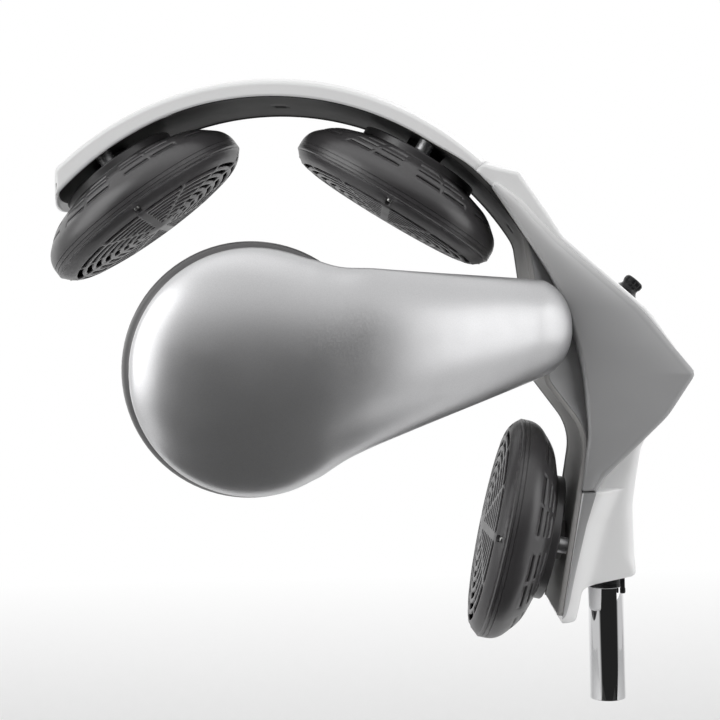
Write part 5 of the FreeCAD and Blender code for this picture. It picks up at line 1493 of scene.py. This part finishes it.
def held_spline(knots, at):
    """Natural cubic spline through (x, value) knots, held at its first value below the first x.

    The curvatures at the knots solve the usual three-banded equations.
    """
    x, value = np.array(knots).T
    at = np.maximum(at, x[0])
    step = np.diff(x)
    slope = np.diff(value) / step
    bands = np.eye(len(x))
    inner = np.arange(1, len(x) - 1)
    bands[inner, inner - 1] = step[:-1]
    bands[inner, inner] = 2 * (step[:-1] + step[1:])
    bands[inner, inner + 1] = step[1:]
    bend = np.linalg.solve(bands, np.concatenate([[0.0], 6 * np.diff(slope), [0.0]]))
    span = np.clip(np.searchsorted(x, at) - 1, 0, len(step) - 1)
    left, right, width = x[span + 1] - at, at - x[span], step[span]
    curve = (bend[span] * left ** 3 + bend[span + 1] * right ** 3) / (6 * width)
    return curve + (value[span] / width - bend[span] * width / 6) * left + (
        value[span + 1] / width - bend[span + 1] * width / 6) * right


def arm_sheet(arm):
    """Left arm's shell: a half tube that widens into a shallow dome over the pod.

    Rows stand along X and crowd at both ends; columns run from the lower edge (t = -1) over the crest (t = 0)
    to the upper edge (t = 1).  The half height is the power mean of the neck's and of the dome's chord.  The
    distance from the XZ plane is edge + (crest - edge)(1 - |t|^a)^b.  Edge and crest change from the neck's
    splines to the dome's, which has its rim 27.2 mm above the pod's seam and stands
    rise (1 - (rho / bowl)^2)^0.56 over it at rho from the pod's axis.
    """
    place = pod_place("left")
    bowl = mm(arm.bowl)
    tilt, lean = place.z_axis[0], -place.z_axis[1]
    rim = place.origin + place.z_axis * BOWL_RIM
    reach = bowl * math.hypot(place.z_axis[1], place.z_axis[2])
    far = rim[0] - reach
    share = np.linspace(0, 1, 150)
    share = 0.85 * (0.5 - 0.5 * np.cos(math.pi * share)) + 0.15 * share
    x = ARM_ROOT_X + (far - ARM_ROOT_X) * share
    off_rim = np.clip(abs(x - rim[0]) / reach, 0, 1)
    chord = bowl * np.sqrt(1 - off_rim ** 2)
    root = np.clip((ARM_ROOT_X - x) / ARM_ROUND, 0, 1)
    neck_half = held_spline(ARM_HALF_HEIGHT, x) * (1 - (1 - root) ** 2.2) ** 0.45
    neck_half = neck_half * (1 - smoothstep(245.0, 300.0, -x))
    half = np.where(x < -180.0, soft_max(neck_half, chord, arm.blend), neck_half)
    root_height, fall, fall_start = 338.5, 0.137, -57.0
    middle = root_height - fall * np.maximum(0.0, fall_start - x)
    middle = middle + (rim[2] - middle) * smoothstep(200.0, 290.0, -x)
    dome = np.full_like(x, BOWL_RIM)
    for _ in range(4):
        off_axis = np.clip(abs(x - rim[0] - tilt * (dome - BOWL_RIM)) / reach, 0, 1)
        dome = BOWL_RIM + mm(arm.rise) * (1 - np.maximum(off_axis, off_rim * (x < rim[0])) ** 2) ** 0.56
    leaning = (x - place.origin[0]) * tilt
    dome_edge = -place.origin[1] + (BOWL_RIM - leaning) / lean
    dome_crest = -place.origin[1] + (dome - leaning) / lean
    change = smoothstep(232.0, 285.0, -x)
    edge = held_spline(ARM_EDGE, x) * (1 - change) + dome_edge * change
    crest = held_spline(ARM_CREST, x) * (1 - change) + dome_crest * change
    crest = edge + (crest - edge) * (1 - (1 - root) ** 2.0) ** 0.5
    t = np.sin(np.linspace(-math.pi / 2, math.pi / 2, 81))[None, :]
    height = middle[:, None] + half[:, None] * t
    change = smoothstep(150.0, 285.0, -x)[:, None]
    bulge = np.clip(1 - abs(t) ** (2.3 - 0.3 * change), 0, 1) ** (0.62 - 0.06 * change)
    out = edge[:, None] + (crest - edge)[:, None] * bulge
    return Sheet(np.stack([np.broadcast_to(x[:, None], out.shape), -out, height], axis=-1))


# ================================================================ controls, mast and small parts
def panel_place(distance):
    """Frame on the control panel at a distance down from its upper corner, Z outwards."""
    corner = PANEL_TOP + PANEL_DOWN * distance
    return Place((corner[0], 0.0, corner[1]), (PANEL_OUT[0], 0.0, PANEL_OUT[1]),
                 (PANEL_DOWN[0], 0.0, PANEL_DOWN[1]))


def knob_sheets(panel):
    """Knob: recess over the bushing, flared skirt, waist and fluted head.

    The radius follows the profile; over the head it is lowered by 0.9 mm times the squared cosine of the
    flute count times the angle, where that cosine is positive.
    """
    skirt = mm(panel.skirt)
    head = mm(panel.head)
    top = mm(panel.height)
    profile = bent_line([
        (5.3, 3.3, 0), (5.3, 1.7, 0.2), (skirt - 0.8, 1.7, 0), (skirt, 1.9, 0.2), (skirt, 5.4, 1.0),
        (skirt - 2.8, 7.6, 3.0), (head - 1.2, 10.6, 3.0), (head - 1.0, 12.4, 2.0), (head, 14.6, 1.5),
        (head, top - 1.8, 1.2), (head - 1.4, top, 1.0), (head - 2.9, top, 0.5), (head - 3.7, top - 0.35, 0.4),
        (0, top - 0.35, 0)], 12.0)
    profile = np.vstack([profile[:1] * [0, 1], profile])
    sheet = turned(profile, 144)
    points = sheet.points
    angle = np.arctan2(points[..., 1], points[..., 0])
    radius = np.hypot(points[..., 0], points[..., 1])
    comb = np.clip(np.cos(panel.flutes * angle), 0.0, 1.0) ** 2
    band = smoothstep(10.5, 13.0, points[..., 2]) * (1 - smoothstep(top - 2.4, top - 1.0, points[..., 2]))
    flute_depth = 0.9
    fresh = radius - flute_depth * comb * band * (radius > 4.0)
    scale = np.where(radius > 1e-6, fresh / np.maximum(radius, 1e-6), 1.0)
    sheet.points = points * np.stack([scale, scale, np.ones_like(scale)], axis=-1)
    pointer = block_body(2.6, 0.45, top - 0.5, top - 0.05, 0.4, 0.1, slot=1)
    return [sheet, pointer.shifted((-1.98, 0.0, 0.0))]


def lens_sheet():
    """Display window: a rounded block that fills the opening, a hair lower than the panel."""
    return block_body(WINDOW_HALF[0] - 0.15, WINDOW_HALF[1] - 0.15, -2.6, -0.25, 1.2, 0.35)


def mast_sheet(body):
    """Chrome tube: outside, rolled upper edge, inside and lower edge as one closed profile."""
    radius = mm(body.mast_radius)
    bore = radius - 1.3
    top = 102.0
    profile = bent_line([(bore, 60.0, 0), (bore, 0.0, 0.5), (radius, 0.0, 0.5), (radius, top, 0.6),
                         (bore, top, 0.6), (bore, 60.0, 0)], 22.0)
    return turned(profile, 96)


def collar_sheet():
    """Black end of the swivel: a turned sleeve between the mast and the neck, with a groove."""
    bore, radius, groove = 11.4, 14.62, 14.2
    low, high = 40.0, 190.0
    profile = bent_line([
        (bore, low, 0), (radius, low, 0.4), (radius, 104.0, 0), (groove, 104.3, 0), (groove, 104.8, 0),
        (radius, 105.1, 0), (radius, high, 0.4), (bore, high, 0.4), (bore, low, 0)], 22.0)
    return turned(profile, 72)


def tab_sheet():
    """Lock tab beside the mast: a rounded bar with a thumb pad at its lower end."""
    loops = []
    for height, grow_x, grow_y in (
            (97.0, -0.9, -0.6), (97.3, -0.4, -0.2), (98.2, 0.0, 0.0), (101.4, 0.0, 0.0),
            (102.2, -0.35, -0.25), (108.0, -0.35, -0.25), (114.7, -0.35, -0.25)):
        loop = rounded_loop(2.5 + grow_x, 1.5 + grow_y, 1.1, 5)
        loops.append(raised(loop, height))
    return capped(loops).shifted((13.5, -14.0, 0.0))


def clamp_screw_sheets():
    """Clamp screw through the neck: domed head with a cross recess, and a shank."""
    place = Place((0.0, 0.0, 134.7), (1.0, 0.0, 0.0), (0.0, 1.0, 0.0))
    head = screw_head(4.6, 22.6, 25.0)
    shank = turned([(0, 14.0), (2.8, 14.0), (2.8, 22.7), (0, 22.7)], 24)
    return [head.moved(place), shank.moved(place)]


def post_sheets():
    """Turned posts between the head pods' hubs and the frame: chamfered feet and one groove."""
    post = turned([(0.0, HUB_TOP), (7.0, HUB_TOP), (8.2, HUB_TOP), (8.2, 51.6), (7.9, 52.0), (7.25, 52.2),
                   (7.25, 57.6), (6.9, 57.9), (6.9, 58.4), (7.25, 58.7), (7.25, 66.4), (0.0, 66.4)], 40)
    pair = [post.shifted((side, 0.0, 0.0)) for side in (-40.0, 40.0)]
    return [part.moved(pod_place(name)) for name in HEAD_PODS for part in pair]


def pin_sheet(side):
    """Hinge pin with chamfered ends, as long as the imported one."""
    sign = -1.0 if side == "left" else 1.0
    low, high = (corner[2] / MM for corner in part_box(side + "_arm_pin"))
    pin = turned([(0.0, low), (3.0, low), (3.5, low + 0.8), (3.5, high - 0.8), (3.0, high), (0.0, high)], 32)
    return pin.shifted((-50.0, sign * 68.0, 0.0))


# ================================================================ stage
def sweep_sheet(floor_z):
    """Floor that curves up into a wall: straight, quarter circle of 900 mm, straight, drawn out along X."""
    near, far, top = -1300.0, 2300.0, 3600.0
    line = bent_line([(near, floor_z, 0), (far, floor_z, 900.0), (far, top, 0)], 4.0)
    across = np.array([-4200.0, -1400.0, 1400.0, 4200.0])
    points = np.stack(np.broadcast_arrays(across[None, :], line[:, :1], line[:, 1:]), axis=-1)
    return Sheet(points, flip=True)


def board_sheet(height):
    """Level board under the part's near side, that only reflections show."""
    corners = np.array([[[-1600.0, -1900.0], [-1600.0, 60.0]], [[1500.0, -1900.0], [1500.0, 60.0]]])
    return Sheet(np.concatenate([corners, np.full((2, 2, 1), height)], axis=-1))


def soft_room(level):
    """Room light that is white to the camera and bright at the sides and above, dark round -Y and below it.

    The dark part lies behind the camera, a little to its right: it fades out where Y - 0.17 X goes from
    -0.58 to -0.40 and where Z goes from 0.22 to 0.5.
    """
    world = bpy.data.worlds.new("Soft room")
    world.use_nodes = True
    wiring = Wiring(world.node_tree)
    ground = world.node_tree.nodes["Background"]
    ground.inputs["Strength"].default_value = level
    toward = wiring.parts(wiring.add("ShaderNodeTexCoord").outputs["Generated"])
    turned_y = wiring.maths("SUBTRACT", toward["Y"], wiring.maths("MULTIPLY", toward["X"], 0.17))
    side = wiring.spread(turned_y, -0.58, -0.40)
    above = wiring.spread(toward["Z"], 0.22, 0.5)
    share = wiring.maths("MAXIMUM", side, above)
    wiring.put(ground, "Color", wiring.mix(share, (0.03, 0.03, 0.03, 1.0), WHITE))
    plain = wiring.add("ShaderNodeBackground", Color=WHITE, Strength=1.0)
    blend = wiring.add("ShaderNodeMixShader")
    wiring.put(blend, 0, wiring.add("ShaderNodeLightPath").outputs["Is Camera Ray"])
    wiring.put(blend, 1, ground.outputs[0])
    wiring.put(blend, 2, plain.outputs[0])
    wiring.put(world.node_tree.nodes["World Output"], "Surface", blend.outputs[0])
    return world


def area_light(name, place, target, size, power):
    """Rectangular soft light at a place in metres, turned to its target."""
    data = bpy.data.lights.new(name, "AREA")
    data.shape = "RECTANGLE"
    data.size, data.size_y = size
    data.energy = power
    lamp = bpy.data.objects.new(name, data)
    lamp.location = place
    lamp.rotation_euler = (Vector(target) - Vector(place)).to_track_quat("-Z", "Y").to_euler()
    bpy.context.scene.collection.objects.link(lamp)
    return lamp


LIGHTS = (
    ("Key light", (-2.2, -1.0, 1.1), (-0.3, 0.0, 0.35), (2.2, 2.4), 1.9),
    ("Fill light", (1.8, -1.5, 1.1), (-0.05, 0.0, 0.25), (1.8, 1.6), 2.0),
    ("Side light", (2.2, -0.3, 0.6), (-0.1, -0.1, 0.35), (1.2, 1.4), 0.35),
    ("Top light", (-0.3, -0.5, 2.2), (-0.2, 0.0, 0.3), (2.4, 1.2), 0.25),
    ("Rear light", (0.9, 2.0, 1.5), (-0.2, 0.0, 0.3), (1.6, 1.2), 0.5),
)


def aim_camera():
    """Camera along +Y from the client's left side, level and rolled by 1.35 degrees."""
    data = bpy.data.cameras.new("Main view")
    data.sensor_width = 36.0
    data.lens = 74.2
    data.shift_x = -0.0417
    data.shift_y = -0.0319
    camera = bpy.data.objects.new("Main view", data)
    roll = math.radians(1.35)
    right = Vector((math.cos(roll), 0.0, -math.sin(roll)))
    up = Vector((math.sin(roll), 0.0, math.cos(roll)))
    back = Vector((0.0, -1.0, 0.0))
    turn = Matrix((right, up, back)).transposed().to_4x4()
    camera.matrix_world = Matrix.Translation((-0.1914, -1.356, 0.3336)) @ turn
    bpy.context.scene.collection.objects.link(camera)
    bpy.context.scene.camera = camera
    return camera


# ================================================================ operators
class ProcessorOperator(bpy.types.Operator):
    """Base of the building steps."""
    bl_options = {"REGISTER", "UNDO"}


class BuildPods(ProcessorOperator):
    """Build the five heater pods: shell, grille, screws, coils, reflector and fan of each"""
    bl_idname = "processor.pods"
    bl_label = "Heater pods"

    def execute(self, context):
        """Work the shapes out once in a pod's frame and place them five times."""
        pod = settings("pod")
        shell = shell_sheet(pod)
        grille = grille_sheet(pod)
        heater = heater_sheets()
        fan = fan_sheets()
        screw = screw_head(2.8, 0.0, 2.0).moved(lambda points: points * (1.0, -1.0, -1.0))
        screw = screw.shifted((0.0, 0.0, SEAT_HEIGHT))
        shank = turned([(0, -3.1), (1.45, -3.1), (1.45, 11.0), (0, 11.0)], 16)
        ring = turned([(97.0, 12.2), (97.0, 13.0), (60.0, 28.0), (60.0, 27.2), (97.0, 12.2)], 96, flip=True)
        for name in HEAD_PODS + SIDES:
            body = name + "_arm" if name in SIDES else "head"
            place = pod_place(name)
            pieces = (
                ("back", [shell], ["pod"], body, "pod_plastic", "_pod_shell", 2.4),
                ("grille", [grille], ["grille"], body, "grille_plastic", "_grille", 2.2),
                ("heater", heater, ["wire", "mica"], body, "heater_coil", "_heater", 0.0),
                ("reflector", [ring], ["sheet"], body, "bright_sheet", "_reflector", 0.0),
                ("fan", fan, ["satin"], name + "_fan_wheel", "fan_plastic", "_fan", 0.0))
            for label, sheets, finishes, rides, slot, node, wall in pieces:
                sheets = [sheet.moved(place) for sheet in sheets]
                fit(name + "_pod_" + label, sheets, finishes, rides, slot, name + node, wall)
        for group, pods in (("head", HEAD_PODS), ("left", ("left",)), ("right", ("right",))):
            sheets = []
            for place in map(pod_place, pods):
                for quarter in range(4):
                    turn = quarter * math.pi / 2
                    offset = around_z(SCREW_CIRCLE, turn, 0.0)
                    for part in (screw, shank):
                        sheets.append(part.spun(turn + 0.6 * quarter).shifted(offset).moved(place))
            fit(group + "_pod_screws", sheets, ["steel"], group if group == "head" else group + "_arm",
                "screw_steel", group + "_grille_screws")
        return {"FINISHED"}


class BuildArch(ProcessorOperator):
    """Build the arch's cover, its liner with the cable ducts, and the pods' mounting posts"""
    bl_idname = "processor.arch"
    bl_label = "Arch"

    def execute(self, context):
        arch = settings("arch")
        fit("arch_cover_skin", arch_cover_sheets(arch), ["white"], "head", "cover_white", "arch_cover", 3.0)
        fit("arch_liner_skin", arch_liner_sheets(arch) + duct_sheets(), ["liner"], "head", "liner_grey",
            "arch_liner", 1.6, sharp_deg=30.0)
        fit("pod_posts", post_sheets(), ["aluminium"], "head", "post_aluminium", "mounting_posts")
        return {"FINISHED"}


class BuildBody(ProcessorOperator):
    """Build the rear cover, the two cheeks, the hinge pockets and the neck housing"""
    bl_idname = "processor.body"
    bl_label = "Rear body"

    def execute(self, context):
        cover = rear_cover_sheet(settings("arch"))
        fit("rear_cover_skin", [cover], ["white"], "head", "cover_white", "rear_cover", 3.0)
        for side, sheet in both_sides(cheek_sheet(settings("body"))):
            fit(side + "_cheek_skin", [sheet], ["cheek"], "head", "cheek_grey", side + "_cheek", 3.0)
        pockets = [sheet for _, sheet in both_sides(pocket_sheet())]
        fit("hinge_pocket_skins", pockets, ["pocket"], "head", "pocket_grey", "hinge_pockets", 1.5)
        # The tails paint the shade of the neck's fillet below the cheeks.
        painted_shade_tails = [sheet for _, sheet in both_sides(painted_shade_tail_sheet())]
        fit("neck_skin", [neck_sheet()] + painted_shade_tails, ["white", "tail"], "head", "cover_white", "neck_housing")
        return {"FINISHED"}


class BuildArms(ProcessorOperator):
    """Build the two side arms' shells and their hinge pins"""
    bl_idname = "processor.arms"
    bl_label = "Side arms"

    def execute(self, context):
        arm = settings("arm")
        for side, sheet in both_sides(arm_sheet(arm)):
            body = side + "_arm"
            fit(side + "_arm_skin", [sheet], ["pearl"], body, "arm_silver", side + "_arm_shell", mm(arm.wall))
            fit(side + "_hinge_pin", [pin_sheet(side)], ["steel"], body, "pin_steel", side + "_arm_pin")
        return {"FINISHED"}


class BuildControls(ProcessorOperator):
    """Build the display window and the knob"""
    bl_idname = "processor.controls"
    bl_label = "Controls"

    def execute(self, context):
        lens = lens_sheet().moved(panel_place(WINDOW_AT))
        fit("display_glass", [lens], ["window"], "head", "display_window", "display_lens")
        place = panel_place(KNOB_AT)
        sheets = [sheet.moved(place) for sheet in knob_sheets(settings("panel"))]
        fit("knob_skin", sheets, ["gloss", "print"], "knob_dial", "knob_black", "control_knob")
        return {"FINISHED"}


class BuildMast(ProcessorOperator):
    """Build the chrome mast, the black swivel collar, the lock tab and the clamp screw"""
    bl_idname = "processor.mast"
    bl_label = "Mast"

    def execute(self, context):
        fit("mast_skin", [mast_sheet(settings("body"))], ["chrome"], "mast", "mast_chrome", "mast_tube")
        fit("swivel_collar", [collar_sheet()], ["satin"], "head", "black_tube", "swivel_spigot")
        fit("lock_tab_skin", [tab_sheet()], ["satin"], "head", "black_plastic", "lock_tab")
        fit("clamp_screw_skin", clamp_screw_sheets(), ["brass"], "head", "screw_steel", "clamp_screw")
        return {"FINISHED"}


class PaintFrame(ProcessorOperator):
    """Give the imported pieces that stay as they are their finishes"""
    bl_idname = "processor.frame"
    bl_label = "Inner parts"

    def execute(self, context):
        paint_nodes("paint", "spine", "left_arm_bracket", "right_arm_bracket")
        # The arm covers take the liner's finish, painted shade included.
        paint_nodes("liner", "left_arm_cover", "right_arm_cover")
        paint_nodes("steel", "encoder", "knob_shaft", *[name + "_fan_motor" for name in HEAD_PODS + SIDES])
        paint_nodes("board", "control_board")
        paint_nodes("bush", "thrust_bush")
        return {"FINISHED"}


class BuildStage(ProcessorOperator):
    """Set up the floor, the backdrop, the lights, the world and the camera"""
    bl_idname = "processor.stage"
    bl_label = "Stage"

    def execute(self, context):
        stage = settings("stage")
        scene = context.scene
        drop = mm(stage.floor_drop)
        sweep = mesh_piece("backdrop_sweep", [sweep_sheet(-drop)], ["sweep"])
        key, fill, side, top, rear = (
            area_light(name, place, target, size, stage.key_power * share)
            for name, place, target, size, share in LIGHTS)
        fill.visible_glossy = False
        board = mesh_piece("dark_board", [board_sheet(60.0 - drop)], ["felt"])
        for kind in ("camera", "diffuse", "transmission", "shadow"):
            setattr(board, "visible_" + kind, False)
        scene.world = soft_room(stage.world_level)
        scene.view_settings.view_transform = "Standard"
        camera = aim_camera()
        return {"FINISHED"}


STEPS = (BuildPods, BuildArch, BuildBody, BuildArms, BuildControls, BuildMast, PaintFrame, BuildStage)


class ProcessorPanel(bpy.types.Panel):
    """Lists the building steps."""
    bl_idname = "VIEW3D_PT_processor"
    bl_label = "Hair colour processor"
    bl_space_type = "VIEW_3D"
    bl_region_type = "UI"
    bl_category = "Processor"

    def draw(self, context):
        """One button for each step."""
        for step in STEPS:
            self.layout.operator(step.bl_idname)


GROUPS_OF_SETTINGS = {
    "arch": ArchSettings,
    "pod": PodSettings,
    "arm": ArmSettings,
    "body": BodySettings,
    "panel": PanelSettings,
    "finish": FinishSettings,
    "stage": StageSettings,
}


def register():
    """Register the settings, the operators and the panel."""
    for group in GROUPS_OF_SETTINGS.values():
        bpy.utils.register_class(group)
    for name, group in GROUPS_OF_SETTINGS.items():
        setattr(bpy.types.Scene, "processor_" + name, bpy.props.PointerProperty(type=group))
    for step in STEPS:
        bpy.utils.register_class(step)
    bpy.utils.register_class(ProcessorPanel)


def unregister():
    """Take back everything register() added."""
    bpy.utils.unregister_class(ProcessorPanel)
    for step in reversed(STEPS):
        bpy.utils.unregister_class(step)
    for name, group in GROUPS_OF_SETTINGS.items():
        delattr(bpy.types.Scene, "processor_" + name)
        bpy.utils.unregister_class(group)


def corners(box):
    """A box as plain lists."""
    return [list(box[0]), list(box[1])]


def main():
    """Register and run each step."""
    register()
    for step in STEPS:
        section, name = step.bl_idname.split(".")
        getattr(getattr(bpy.ops, section), name)()
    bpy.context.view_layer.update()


if __name__ == "__main__":
    main()
